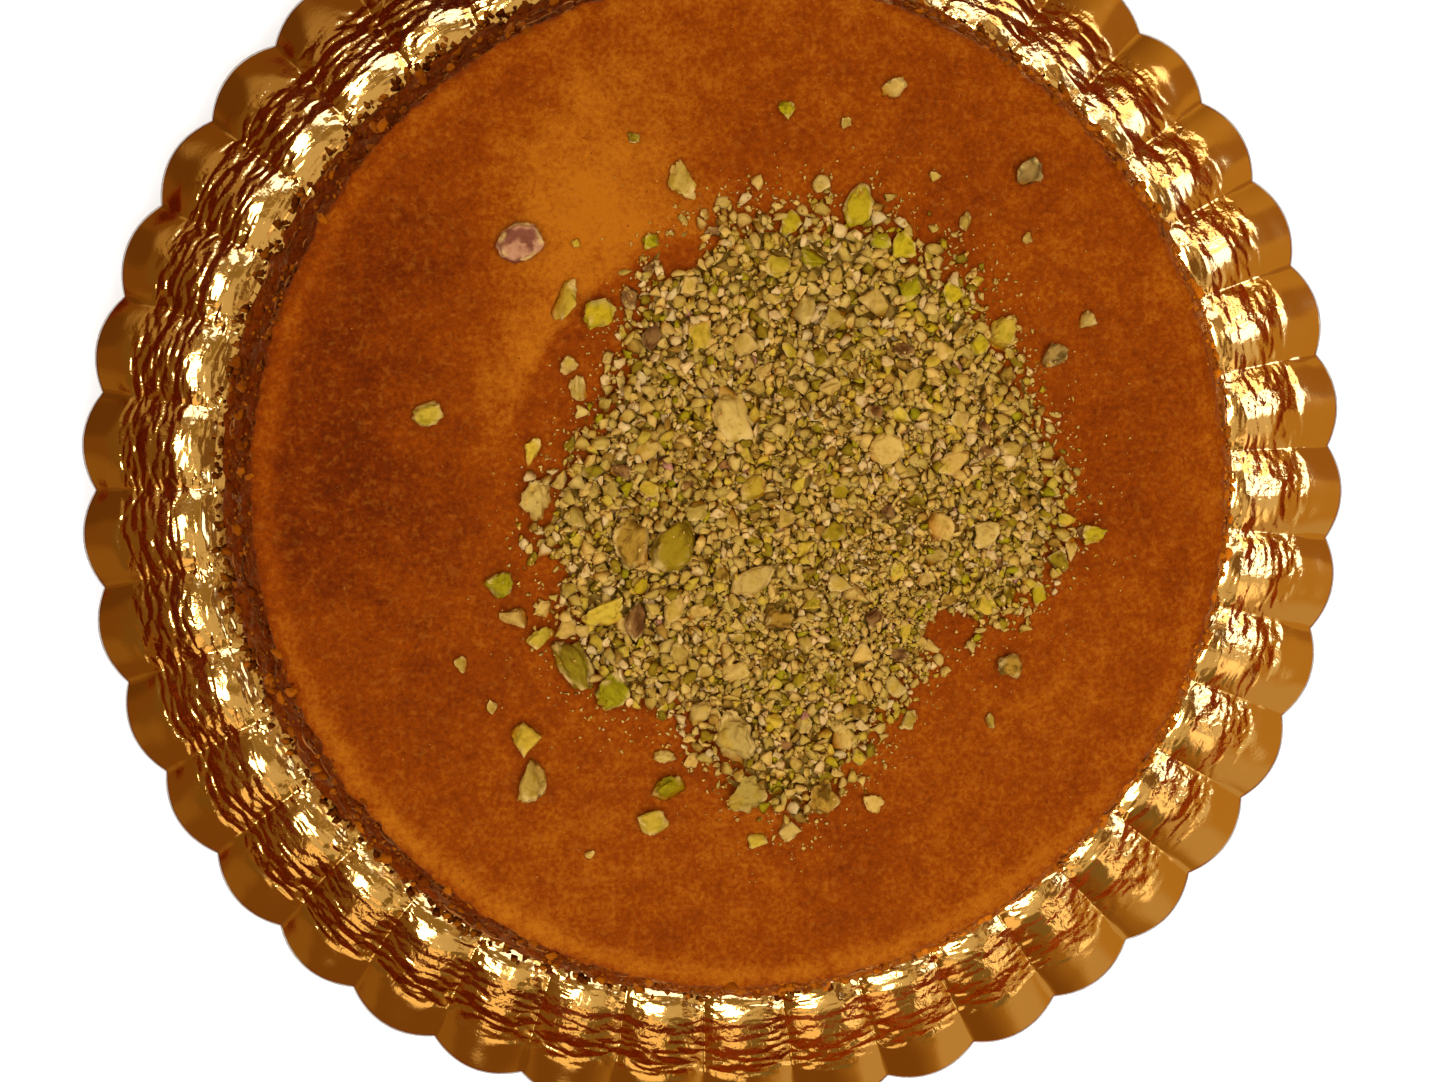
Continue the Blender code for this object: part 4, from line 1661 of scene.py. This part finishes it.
    def crumb_shapes(self) -> list[Form]:
        """Shapes of the small chopped bits, some of them bent or waisted.

        Returns:
            Points and triangles of each.
        """
        made = []
        for index in range(80):
            points, faces = self.chopper.pebble(int(self.rng.integers(8, 12)), 0.5, 0.4)
            push = 0.6 * lattice_noise(points * 2.3 + index * 3.7, 71)
            bend = self.rng.uniform(-0.6, 0.6) * (points[:, 0] ** 2 - 0.08)
            points = points * (1.0 + push[:, None])
            points[:, 1] += bend
            made.append((self.chopper.true_size(points), faces))
        return made

    def fine_shapes(self) -> list[Form]:
        """Shapes of the finest bits."""
        return [self.chopper.chop(int(self.rng.integers(8, 11)), 0.4) for _ in range(24)]

    def draw_kind(self) -> Kind:
        """The look of a small bit."""
        kinds = list(BIT_CHANCES)
        return kinds[int(self.rng.choice(len(kinds), p=list(BIT_CHANCES.values())))]

    def draw_place(self, most: float) -> tuple[float, float]:
        """A seeded place within a share of the mound's reach, thinner in the gaps.

        Args:
            most: Largest share of the reach.

        Returns:
            X and Y of the place.
        """
        while True:
            angle = self.rng.uniform(0.0, math.tau)
            span = most * math.sqrt(self.rng.random())
            span *= 1.0 + self.raggedness * min(2.0, max(-1.6, float(self.rng.normal()))) * span**3
            edge = np.array([(9.0 * math.cos(angle), 9.0 * math.sin(angle), 0.0)])
            span *= 1.0 + 0.07 * float(lattice_noise(edge, 65)[0])
            reach = float(self.reach(np.array(angle))) * span
            x = self.centre[0] + reach * math.cos(angle)
            y = self.centre[1] + reach * math.sin(angle)
            clear = (
                math.hypot(x - gap_x, y - gap_y) > gap_reach * self.rng.uniform(0.6, 1.2)
                for gap_x, gap_y, gap_reach in self.gaps
            )
            if all(clear):
                return x, y

    def low_place(self, most: float, tries: int) -> tuple[float, float]:
        """The lowest of a few seeded places, as loose bits roll into hollows, yet thin at the rim.

        Args:
            most: Largest share of the reach.
            tries: How many places are drawn.

        Returns:
            X and Y of the place.
        """

        def climb(place: tuple[float, float]) -> float:
            """Height at a place, over the height that the heap should have there."""
            share = float(self.share(*place))
            return self.pile.level(place) + self.rim_rise * max(0.0, share - 0.35) ** 2

        return min((self.draw_place(most) for _ in range(tries)), key=climb)

    def grain(self, x: float, y: float) -> float:
        """How coarse the bits are at a place: finer towards the heap's lower right."""
        zone_x, zone_y, reach = self.fine_zone
        return 1.08 - 0.34 * math.exp(-((x - zone_x) ** 2 + (y - zone_y) ** 2) / reach**2)

    def on_large(self, x: float, y: float) -> bool:
        """Whether a place is on one of the larger pieces.

        Args:
            x: The place along X.
            y: The place along Y.

        Returns:
            True where one lies.
        """
        for piece in self.taken:
            gap_x, gap_y = x - piece.x, y - piece.y
            if abs(gap_x) > piece.length or abs(gap_y) > piece.length:
                continue
            turn = math.radians(piece.turn)
            along = (gap_x * math.cos(turn) + gap_y * math.sin(turn)) / piece.length
            across = (-gap_x * math.sin(turn) + gap_y * math.cos(turn)) / piece.width
            if along**2 + across**2 < 0.25:
                return True
        return False

    def strew(self, batches: dict[Kind, Batch], shapes: list, layer: Layer) -> None:
        """Strews a layer of small bits over the mound.

        Args:
            batches: Batch of each kind.
            shapes: Shapes to draw from.
            layer: How many, how long and where.
        """
        shortest, longest = layer.lengths
        for _ in range(layer.count):
            x, y = self.low_place(layer.reach, layer.tries)
            if self.on_large(x, y) and self.rng.random() < layer.off_large:
                continue
            length = shortest + (longest - shortest) * self.rng.random() ** 1.6
            length *= self.grain(x, y)
            width = length * self.rng.uniform(0.48, 0.92)
            size = (length, width, width * self.rng.uniform(0.55, 0.85))
            shape = shapes[int(self.rng.integers(len(shapes)))]
            kind = self.draw_kind()
            turn = self.rng.uniform(0, math.tau)
            self.lay(batches[kind], shape, (x, y), size, turn, kind, self.bit_sink, self.bit_patch)

    def place_large(self, batches: dict[Kind, Batch], pieces: list[Piece], sink: float) -> None:
        """Lays down larger pieces, the longest of them with a finer surface.

        Args:
            batches: Batch of each kind.
            pieces: The pieces, in order.
            sink: Share of its height by which each settles.
        """
        for piece in pieces:
            least = self.fine_triangles if piece.length > self.fine_from else LEAST_TRIANGLES
            shape = self.chopper.worked(piece.shape, least)
            size = (piece.length, piece.width, piece.width * piece.thick)
            turn = math.radians(piece.turn)
            self.lay(batches[piece.kind], shape, (piece.x, piece.y), size, turn, piece.kind, sink)
        self.taken += pieces

    def middling_pieces(self) -> list[Piece]:
        """Further middling pieces over the mound, clear of the larger ones.

        Returns:
            The pieces.
        """
        made: list[Piece] = []
        while len(made) < self.middling:
            x, y = self.draw_place(0.97)
            if any(math.hypot(x - p.x, y - p.y) < 3.0 + 0.5 * p.length for p in self.taken + made):
                continue
            length = self.rng.uniform(*self.middling_lengths)
            kind = MIDDLING_KINDS[int(self.rng.integers(len(MIDDLING_KINDS)))]
            width = length * self.rng.uniform(0.6, 0.95)
            made.append(Piece(x, y, length, width, self.rng.uniform(0, 180), kind))
        return made

    def scatter_dust(self, batch: Batch, shapes: list) -> None:
        """Fine pale crumbs over the heap and thinning out around it.

        Args:
            batch: Where they go.
            shapes: Shapes to draw from.
        """
        for _ in range(self.dust):
            angle = self.rng.uniform(0.0, math.tau)
            beyond = self.rng.random() < 0.55
            span = 1.0 + abs(self.rng.normal(0, 0.13)) if beyond else self.rng.uniform(0.25, 1.0)
            reach = float(self.reach(np.array(angle))) * span
            x = self.centre[0] + reach * math.cos(angle)
            y = self.centre[1] + reach * math.sin(angle)
            length = self.rng.uniform(0.5, 1.6) if span < 1.12 else self.rng.uniform(0.35, 1.0)
            size = (length, length * self.rng.uniform(0.6, 0.95), length * 0.6)
            shape = shapes[int(self.rng.integers(len(shapes)))]
            kind = Kind.PALE if self.rng.random() < 0.7 else Kind.KHAKI
            turn = self.rng.uniform(0, math.tau)
            self.lay(batch, shape, (x, y), size, turn, kind, self.dust_sink, self.dust_patch)


PALE, KHAKI, YELLOW, LIME, GREEN = Kind.PALE, Kind.KHAKI, Kind.YELLOW, Kind.LIME, Kind.GREEN
OLIVE, SKIN, BROWN, GREY, MAUVE = Kind.OLIVE, Kind.SKIN, Kind.BROWN, Kind.GREY, Kind.MAUVE
CHOP, HALF, SLICE, CLUMP = Shape.CHOP, Shape.HALF, Shape.SLICE, Shape.CLUMP

HEAP_PIECES = [
    Piece(-2, 18, 14.5, 9, 115, PALE, CHOP), Piece(34, 10, 8.5, 8, 20, PALE, SLICE, 0.4),
    Piece(50, 7, 9.5, 5.5, 30, PALE, HALF), Piece(47, -8, 7, 6, 150, PALE),
    Piece(58, -10, 7, 6, 80, PALE), Piece(64, 10, 6, 5, 10, KHAKI),
    Piece(-25, -11, 13, 8.5, 90, BROWN, CLUMP), Piece(-15, -12, 14, 10, 60, OLIVE, HALF),
    Piece(3, -20, 12, 6.5, 35, PALE, HALF), Piece(-15, -26, 9, 4.5, 70, PALE, HALF),
    Piece(-31, -27, 9.5, 8, 170, YELLOW), Piece(-24, -29, 10, 5.5, 80, MAUVE, HALF),
    Piece(-40, -31, 6, 5, 20, PALE), Piece(-46.5, -2, 11, 8.5, 100, PALE, CLUMP),
    Piece(-38, -39, 13.5, 8, 120, OLIVE, CLUMP), Piece(-29, -46, 10, 8, 45, GREEN, CLUMP),
    Piece(-1, -41, 6.5, 5, 20, PALE), Piece(-14, -37, 6.5, 4.5, 125, KHAKI),
    Piece(-9, -51, 7, 5.5, 35, PALE), Piece(-1, -57, 14, 9, 100, PALE, CLUMP),
    Piece(24, -57, 7, 5.5, 60, PALE), Piece(3, 1, 7.5, 6, 30, YELLOW),
    Piece(-21, 10, 7, 5.5, 15, PALE), Piece(9, -29, 7, 6, 0, BROWN),
    Piece(27, -24, 6.5, 5, 140, PALE), Piece(29, -38, 6, 5, 60, PALE),
    Piece(2, -70, 11, 9, 20, KHAKI, CLUMP), Piece(20, -71, 9, 8, 90, BROWN, CLUMP),
    Piece(12, -79, 5, 4.5, 30, PALE), Piece(4.4, -81, 5, 4, 30, YELLOW),
    Piece(28, 66, 11, 7, 70, LIME, HALF), Piece(38, 57, 7, 6, 110, LIME),
    Piece(33, 58, 5, 4.5, 20, GREEN), Piece(12, 62, 6, 5, 30, LIME),
    Piece(9, 52, 6.5, 6, 60, YELLOW), Piece(-9, 36, 8, 5.5, 95, YELLOW),
    Piece(40, 47, 6, 5.5, 20, GREEN), Piece(17, 54, 7, 6, 160, GREEN),
    Piece(32, 43, 8, 7, 120, PALE), Piece(15, 42, 7, 6, 45, PALE), Piece(1, 34, 6, 5.5, 20, PALE),
    Piece(21, 24, 6, 5, 10, PALE), Piece(-20, 36, 7.5, 5, 70, MAUVE, CLUMP),
    Piece(62, 37, 9, 6.5, 75, YELLOW), Piece(56.5, 34, 5.5, 4.5, 60, LIME),
    Piece(22, -9, 6.5, 5, 30, OLIVE), Piece(40, 26, 6.5, 5, 60, KHAKI),
    Piece(23, -20.5, 6, 5, 10, PALE), Piece(-10, -4, 6, 5, 40, KHAKI),
    Piece(-4.3, -18.5, 5, 4.5, 60, BROWN), Piece(-41, 3, 5.5, 4, 30, PALE),
    Piece(50, 46, 6, 5, 120, LIME), Piece(-10, -27.5, 6.5, 4.2, 50, PALE),
]

LOOSE_PIECES = [
    Piece(-50, 57, 11, 9, 20, SKIN, SLICE, 0.42), Piece(-40, 44, 9, 7, 100, YELLOW, CHOP, 0.5),
    Piece(-32, 41, 8, 6.5, 15, LIME, CLUMP), Piece(-39, 29, 4.5, 4, 60, PALE),
    Piece(-37, 24, 6.5, 4, 100, PALE), Piece(-13, 71.5, 9.5, 6.5, 95, KHAKI, CHOP, 0.5),
    Piece(-20, 57.5, 4.5, 3.5, 30, GREEN), Piece(36, 93, 6.5, 4.5, 20, PALE, CLUMP),
    Piece(11, 88, 4.5, 4, 60, GREEN), Piece(-24, 81, 3, 2.5, 0, OLIVE),
    Piece(25, 85, 3, 2.5, 80, KHAKI), Piece(19, 71, 4.6, 3.7, 30, PALE),
    Piece(46, 73, 3, 2.5, 0, KHAKI), Piece(68, 74, 7, 6.5, 40, GREY, CLUMP),
    Piece(68, 59, 3, 2.5, 40, PALE), Piece(82, 40, 4.5, 4, 30, PALE),
    Piece(74.5, 32, 6.5, 6, 0, GREY, CLUMP), Piece(-71, 18, 7.2, 5.6, 20, YELLOW, CLUMP),
    Piece(-64, -39, 4, 3, 80, KHAKI), Piece(-57, -49, 3, 2.5, 60, KHAKI),
    Piece(-49, -56, 7.5, 6.5, 120, YELLOW, CHOP, 0.55),
    Piece(-48, -66, 10, 7.5, 95, KHAKI, CLUMP, 0.5), Piece(-16, -68.5, 8, 7, 170, GREEN, CHOP),
    Piece(-17, -61, 5.5, 3.2, 0, PALE, CLUMP), Piece(-20, -76, 6.5, 6, 30, YELLOW),
    Piece(32, -73, 5, 4.5, 0, PALE), Piece(60, -54, 3.5, 3, 60, KHAKI),
    Piece(64, -41, 6, 6, 0, BROWN, CLUMP), Piece(84, -10, 6.5, 5, 10, LIME),
    Piece(78.6, -13.4, 6.4, 2.8, 80, PALE), Piece(71, -24, 6, 4, 75, LIME),
    Piece(-54.5, -20.5, 6.5, 6, 40, GREEN, CLUMP), Piece(-51.5, -28, 7, 5, 150, PALE),
    Piece(-45.5, -33, 7, 5, 10, YELLOW), Piece(-47, 9.5, 6.5, 4, 95, YELLOW),
    Piece(-34.5, -83.5, 2.5, 2.2, 0, PALE), Piece(-37, 57, 2.4, 2.2, 0, YELLOW),
]


# ---- crumbs of the cake


@dataclass
class CakeCrumbs:
    """Crumbs and pastry threads on the wall, and grains of semolina on the crust."""

    cake: Kunafa
    lumps: int = 330
    crumbs: int = 2100
    foot_crumbs: int = 1100
    threads: int = 240
    grains: int = 700
    lump_lengths: Span = (1.8, 3.8)
    crumb_lengths: Span = (0.7, 2.0)
    foot_lengths: Span = (1.0, 3.0)
    foot_spread: Span = (0.4, 3.4)
    thread_lengths: Span = (2.0, 7.0)
    thread_radii: Span = (0.16, 0.30)
    grain_lengths: Span = (0.35, 0.85)
    deepest: float = 1.2
    lean: float = 0.35
    lump_triangles: int = 100
    wall_shades: Shades = Shades((0.12, 0.016, 0.0004), (0.52, 0.135, 0.004))
    foot_crumb_and_shadow_shades: Shades = Shades((0.085, 0.013, 0.0004), (0.42, 0.11, 0.004))
    thread_shades: Shades = Shades((0.11, 0.025, 0.003), (0.55, 0.20, 0.045))
    grain_shades: Shades = Shades((0.26, 0.05, 0.002), (0.58, 0.20, 0.03))

    def __post_init__(self) -> None:
        """Starts the seeded draw and the cutting of the crumbs."""
        self.rng = np.random.default_rng(SEED + 9)
        self.chopper = Chopper(SEED + 10)

    def wall_place(self, angle: float, share: float) -> tuple[Array, Array]:
        """A point of the wall and its outward direction.

        Args:
            angle: Angle about the cake's centre.
            share: 0 at the crust's edge, 1 at the foot.

        Returns:
            The point and the unit vector.
        """
        semi_x, semi_y = self.cake.semi_axes(np.array(share), np.array(0.0))
        wall_top = self.cake.top - self.cake.shoulder_drop
        foot = self.cake.bottom + self.cake.foot_height
        level = wall_top + share * (foot - wall_top)
        point = np.array([semi_x * math.cos(angle), semi_y * math.sin(angle), level])
        move = float(self.cake.crags(point[None, :], np.array([angle]))[0])
        out = np.array([math.cos(angle), math.sin(angle), self.lean])
        point = point + (*self.cake.centre, 0.0)
        point[:2] += max(move, -self.deepest) * out[:2]
        return point, out / np.linalg.norm(out)

    def build_crumbs(self, finish: Material) -> Object:
        """Browned crumbs that stick to the wall, painted paler on the side that faces the key light.

        Args:
            finish: Their material.

        Returns:
            The object.
        """
        batch = Batch()
        shapes = [self.chopper.worked(Shape.CLUMP, self.lump_triangles) for _ in range(24)]
        small = [self.chopper.chop(12, 0.2) for _ in range(24)]
        for index in range(self.crumbs):
            angle = self.rng.uniform(0.0, math.tau)
            share = self.rng.uniform(0.0, 0.97)
            point, out = self.wall_place(angle, share)
            large = index < self.lumps
            length = self.rng.uniform(*(self.lump_lengths if large else self.crumb_lengths))
            size = length * np.array([1.0, self.rng.uniform(0.55, 0.9), self.rng.uniform(0.5, 0.8)])
            pool = shapes if large else small
            points, faces = pool[int(self.rng.integers(len(pool)))]
            spin = self.rng.uniform(0, math.tau)
            turned = (points * size) @ turning(spin, -out[0], -out[1]).T
            # Painted light: crumbs on the side that faces the key light are painted paler; the rest of
            # the tone is their own browned colour at random.
            sunlit = float(smoothstep(-0.2, 0.8, math.cos(angle + 0.25)))
            foot = float(smoothstep(0.5, 0.75, share))
            tone = self.rng.random() ** 1.4 * (0.75 + 0.2 * sunlit) + 0.06 * foot + 0.45 * sunlit
            colours = self.wall_shades.rows(np.full(len(points), tone))
            batch.add(turned + point + out * 0.12 * length, faces, colours)
        self.strew_foot(batch, small)
        return batch.build("wall_crumbs", finish, True)

    def strew_foot(self, batch: Batch, shapes: list) -> None:
        """Dark fallen crumbs on the foil along the foot of the wall, only where it lies in shade, so
        that they also stand as painted shade there.

        Args:
            batch: Where the crumbs go.
            shapes: Shapes to draw from.
        """
        face = FoilTray().face_line()
        nearest, farthest = self.foot_spread
        for _ in range(self.foot_crumbs):
            angle = self.rng.uniform(0.0, math.tau)
            push = nearest + (farthest - nearest) * self.rng.random() ** 1.2
            length = self.rng.uniform(*self.foot_lengths)
            points, faces = shapes[int(self.rng.integers(len(shapes)))]
            tone = self.rng.random() ** 2.2
            # Painted shade: crumbs are kept only on the side away from the light, and are mostly dark.
            if self.rng.random() < float(smoothstep(-0.3, 0.6, math.cos(angle + 0.25))):
                continue
            point, _ = self.wall_place(angle, 0.95)
            point[:2] += push * np.array([math.cos(angle), math.sin(angle)])
            size = length * np.array([1.0, 0.8, 0.6])
            point[2] = np.interp(math.hypot(point[0], point[1]), *face.T) + 0.4 * size[2]
            turned = (points * size) @ turning(angle + 2.0 * push, 0.0, 0.0).T
            batch.add(turned + point, faces, self.foot_crumb_and_shadow_shades.rows(np.full(len(points), tone)))

    def build_threads(self, finish: Material) -> Object:
        """Short threads of pastry that stand out of the wall.

        Args:
            finish: Their material.

        Returns:
            The object.
        """
        batch = Batch()
        sides, steps = 5, 7
        for _ in range(self.threads):
            angle = self.rng.uniform(0.0, math.tau)
            share = self.rng.uniform(0.05, 0.97)
            point, out = self.wall_place(angle, share)
            around = np.array([-math.sin(angle), math.cos(angle), 0.0])
            heading = around * self.rng.normal(0, 1.0)
            heading[2] += self.rng.normal(0, 0.6)
            heading = heading / np.linalg.norm(heading)
            length = self.rng.uniform(*self.thread_lengths)
            bend = self.rng.uniform(-0.6, 0.6)
            place = np.linspace(-0.5, 0.5, steps)
            arch = out[None, :] * ((0.25 - place**2) * 1.6)[:, None]
            side = np.cross(out, heading)
            line = point + heading * (place * length)[:, None] + arch
            line = line + side * ((place**2) * bend * length)[:, None]
            radius = self.rng.uniform(*self.thread_radii)
            turn = np.arange(sides) / sides * math.tau
            thin = radius * (1.0 - (2 * np.abs(place)) ** 4 * 0.6)
            ring = np.cos(turn)[:, None] * out + np.sin(turn)[:, None] * side
            points = (line[:, None, :] + ring[None] * thin[:, None, None]).reshape(-1, 3)
            quads = strip_faces(steps, sides)
            faces = np.concatenate([quads[:, [0, 1, 2]], quads[:, [0, 2, 3]]])
            ends = np.array([(0, k + 1, k + 2) for k in range(sides - 2)])
            faces = np.concatenate([faces, ends, ends[:, ::-1] + (steps - 1) * sides])
            tone = self.rng.uniform(0.1, 1.0)
            batch.add(points, faces, self.thread_shades.rows(np.full(len(points), tone**1.6)))
        return batch.build("wall_threads", finish, True)

    def build_grains(self, finish: Material) -> Object:
        """Loose grains of semolina on the crust.

        Args:
            finish: Their material.

        Returns:
            The object.
        """
        batch = Batch()
        shapes = [self.chopper.chop(7, 0.1) for _ in range(16)]
        for _ in range(self.grains):
            angle = self.rng.uniform(0.0, math.tau)
            span = math.sqrt(self.rng.uniform(0.18, 0.985))
            x = self.cake.centre[0] + self.cake.crust_radii[0] * span * math.cos(angle)
            y = self.cake.centre[1] + self.cake.crust_radii[1] * span * math.sin(angle)
            level = float(self.cake.top_height(np.array([x]), np.array([y]))[0])
            inset = (1.0 - span) * self.cake.crust_radii[0]
            bend = min(1.0, max(0.0, 1.0 - inset / self.cake.shoulder_inset))
            level -= self.cake.shoulder_drop * bend**2
            length = self.rng.uniform(*self.grain_lengths)
            size = np.array([length, length * self.rng.uniform(0.6, 1.0), length * 0.5])
            points, faces = shapes[int(self.rng.integers(len(shapes)))]
            turned = (points * size) @ turning(self.rng.uniform(0, math.tau), 0.0, 0.0).T
            colours = self.grain_shades.rows(np.full(len(points), self.rng.random() ** 1.5))
            batch.add(turned + (x, y, level + 0.02), faces, colours)
        return batch.build("crust_grains", finish, True)


# ---- studio


@dataclass(frozen=True)
class Glow:
    """A soft bright place of the room: its direction, where it starts and is full, its colour."""

    direction: tuple[float, float, float]
    start: float
    full: float
    colour: Colour


@dataclass
class Studio:
    """Pale floor, soft lights and the camera over the dish."""

    camera_place: tuple[float, float, float] = (-61.7, 17.7, 531.4)
    camera_tilt: tuple[float, float] = (-3.241, -6.491)
    lens: float = 55.15
    sensor: float = 36.0
    clip_start: float = 0.01
    floor_half: float = 6000.0
    key_place: tuple[float, float, float] = (300.0, -30.0, 1100.0)
    key_width: float = 220.0
    key_power: float = 2.25
    fill_place: tuple[float, float, float] = (250.0, -350.0, 1300.0)
    fill_width: float = 1500.0
    fill_power: float = 10.45
    dim: Colour = (0.18, 0.080, 0.014)
    ceiling_spread: float = 1.0 / 7.0
    ceiling_edge: tuple[float, float] = (0.82, 0.90)
    ceiling_tones: tuple[tuple[float, Colour], ...] = (
        (0.34, (0.13, 0.065, 0.015)),
        (0.48, (0.38, 0.28, 0.14)),
        (0.60, (0.58, 0.48, 0.29)),
        (0.71, (1.4, 1.28, 0.95)),
    )
    glows: tuple[Glow, ...] = (
        Glow((-1.0, 0.0, 0.0), -0.10, 0.50, (0.43, 0.257, 0.056)),
        Glow((0.85, -0.38, 0.38), 0.955, 0.985, (0.125, 0.055, 0.009)),
        Glow((0.85, 0.34, 0.40), 0.965, 0.99, (0.24, 0.125, 0.024)),
        Glow((-0.70, -0.42, 0.60), 0.965, 0.985, (0.30, 0.15, 0.03)),
        Glow((0.55, 0.0, 0.83), 0.88, 0.95, (0.17, 0.095, 0.020)),
        Glow((0.08, 0.12, 0.99), 0.957, 0.98, (0.58, 0.53, 0.36)),
        Glow((0.16, -0.24, 0.96), 0.965, 0.982, (0.24, 0.17, 0.045)),
        Glow((-0.29, -0.05, 0.96), 0.972, 0.985, (0.16, 0.085, 0.018)),
        Glow((0.24, -0.48, 0.85), 0.985, 0.994, (2.6, 3.4, 5.2)),
        Glow((0.06, -0.43, 0.91), 0.98, 0.992, (2.4, 3.0, 4.5)),
        Glow((-0.53, 0.65, 0.54), 0.94, 0.985, (0.48, 0.36, 0.18)),
        Glow((-0.48, 0.22, 0.85), 0.965, 0.985, (0.64, 0.58, 0.42)),
        Glow((-0.48, -0.19, 0.85), 0.968, 0.986, (2.6, 3.4, 5.2)),
        Glow((-0.31, -0.46, 0.83), 0.97, 0.988, (2.0, 1.9, 1.7)),
        Glow((-0.32, 0.40, 0.86), 0.97, 0.988, (1.3, 1.15, 0.85)),
        Glow((0.50, -0.50, 0.70), 0.95, 0.985, (0.36, 0.25, 0.11)),
        Glow((0.31, 0.52, 0.79), 0.965, 0.988, (1.0, 0.82, 0.48)),
        Glow((-0.12, 0.50, 0.86), 0.965, 0.988, (0.19, 0.14, 0.05)),
    )

    def add_camera(self) -> Object:
        """Adds the camera at the photograph's place.

        Returns:
            The camera.
        """
        camera = bpy.data.objects.new("camera", bpy.data.cameras.new("camera"))
        bpy.context.scene.collection.objects.link(camera)
        camera.data.lens = self.lens
        camera.data.sensor_width = self.sensor
        camera.data.clip_start = self.clip_start
        camera.location = Vector(self.camera_place) * MM
        camera.rotation_euler = (*map(math.radians, self.camera_tilt), 0.0)
        bpy.context.scene.camera = camera
        return camera

    def add_floor(self) -> Object:
        """Adds the pale floor, which isn't part of the object."""
        signs = np.array([(-1, -1, 0), (1, -1, 0), (1, 1, 0), (-1, 1, 0)])
        square = [np.array([[0, 1, 2, 3]])]
        floor = mesh_object("studio_floor", self.floor_half * signs, square, [FloorFinish().build()])
        return floor

    def add_light(
        self, name: str, place: tuple[float, float, float], width: float, power: float
    ) -> Object:
        """Adds a square soft light that faces the dish.

        Args:
            name: Its name.
            place: Its middle.
            width: Its width.
            power: Its power in watts.

        Returns:
            The light.
        """
        lamp = bpy.data.lights.new(name, "AREA")
        lamp.size = width * MM
        lamp.energy = power
        light = bpy.data.objects.new(name, lamp)
        bpy.context.scene.collection.objects.link(light)
        light.location = Vector(place) * MM
        light.rotation_euler = (-light.location).to_track_quat("-Z", "Y").to_euler()
        return light

    def ceiling(self, room: Nodes, way: bpy.types.NodeSocket) -> bpy.types.NodeSocket:
        """A ceiling of uneven brightness, so that each patch of foil mirrors its own tone."""
        tones = room.ramp(room.noise(way, self.ceiling_spread), self.ceiling_tones)
        height = room.node("SeparateXYZ", {"Vector": way}).outputs["Z"]
        return room.mix(room.ease(height, *self.ceiling_edge), (*self.dim, 1.0), tones)

    def add_surroundings(self) -> None:
        """A warm dim room with its ceiling and its soft bright places."""
        world = bpy.data.worlds.new("room")
        bpy.context.scene.world = world
        world.use_nodes = True
        room = Nodes(world.node_tree)
        way = room.node("TexCoord").outputs["Generated"]
        colour = self.ceiling(room, way)
        for glow in self.glows:
            ends = {0: way, 1: Vector(glow.direction).normalized()}
            facing = room.node("VectorMath", ends, operation="DOT_PRODUCT").outputs["Value"]
            share = room.ease(facing, glow.start, glow.full)
            colour = room.mix(share, colour, (*glow.colour, 1.0))
        room.tree.links.new(colour, room.tree.nodes["Background"].inputs["Color"])

    def build(self) -> None:
        """Sets up the whole studio."""
        self.add_camera()
        self.add_floor()
        self.add_light("key", self.key_place, self.key_width, self.key_power)
        fill = self.add_light("fill", self.fill_place, self.fill_width, self.fill_power)
        fill.visible_glossy = False
        self.add_surroundings()
        scene = bpy.context.scene
        scene.view_settings.view_transform = "Standard"
        scene.view_settings.look = "None"


# ---- the whole


def dress_tray() -> None:
    """Builds the foil tray."""
    tray = FoilTray().build(FoilFinish().build(), CardFinish().build())
    settle(tray, "gold_foil_card", "tray")


def dress_cake(cake: Kunafa) -> None:
    """Builds the cake's body, crumbs, threads and grains.

    Args:
        cake: The cake to dress.
    """
    settle(cake.build_body(CrustFinish().build()), "semolina_crust", "kunafa")
    crumbs = CakeCrumbs(cake)
    # The crumbs' colours, which this finish reads, hold painted light on the side that faces the key
    # light.
    browned = NutFinish("browned crumb", 0.34, 0.0006, 0.00010, 0.08, (1.0, 0.36, 0.05)).build()
    settle(crumbs.build_crumbs(browned), "semolina_crust")
    settle(crumbs.build_threads(browned), "semolina_crust")
    settle(crumbs.build_grains(browned), "semolina_crust")


def dress_nuts(cake: Kunafa) -> None:
    """Builds the heap and the loose nuts, from the bottom up.

    Args:
        cake: The cake that they lie on.
    """
    nuts = Nuts(Pile(cake))
    finish = NutFinish("pistachio flesh").build()
    settle(nuts.build_mound(finish), "chopped_pistachio", "pistachio_heap")
    nuts.raise_pile()
    bits = {kind: Batch() for kind in Kind}
    large = {kind: Batch() for kind in Kind}
    shapes = nuts.crumb_shapes()
    nuts.strew(bits, shapes, nuts.bits_below)
    nuts.place_large(large, HEAP_PIECES, nuts.sink_in_heap)
    nuts.place_large(large, nuts.middling_pieces(), nuts.sink_in_heap)
    nuts.place_large(large, LOOSE_PIECES, nuts.sink_on_crust)
    nuts.strew(bits, shapes, nuts.bits_above)
    nuts.strew(bits, nuts.fine_shapes(), nuts.fines)
    dust = Batch()
    nuts.scatter_dust(dust, [nuts.chopper.chop(7, 0.2) for _ in range(16)])
    for kind in Kind:
        for size, batches in (("bits", bits), ("pieces", large)):
            if batches[kind].count:
                name = f"{kind.name.lower()}_{size}"
                settle(batches[kind].build(name, finish, True), "chopped_pistachio")
    settle(dust.build("nut_dust", finish, False), "chopped_pistachio")


def main() -> None:
    """Builds the studio, the tray, the cake and the heap in order."""
    Studio().build()
    dress_tray()
    cake = Kunafa()
    dress_cake(cake)
    dress_nuts(cake)


if __name__ == "__main__":
    logging.basicConfig(level=logging.INFO, format="%(message)s")
    main()
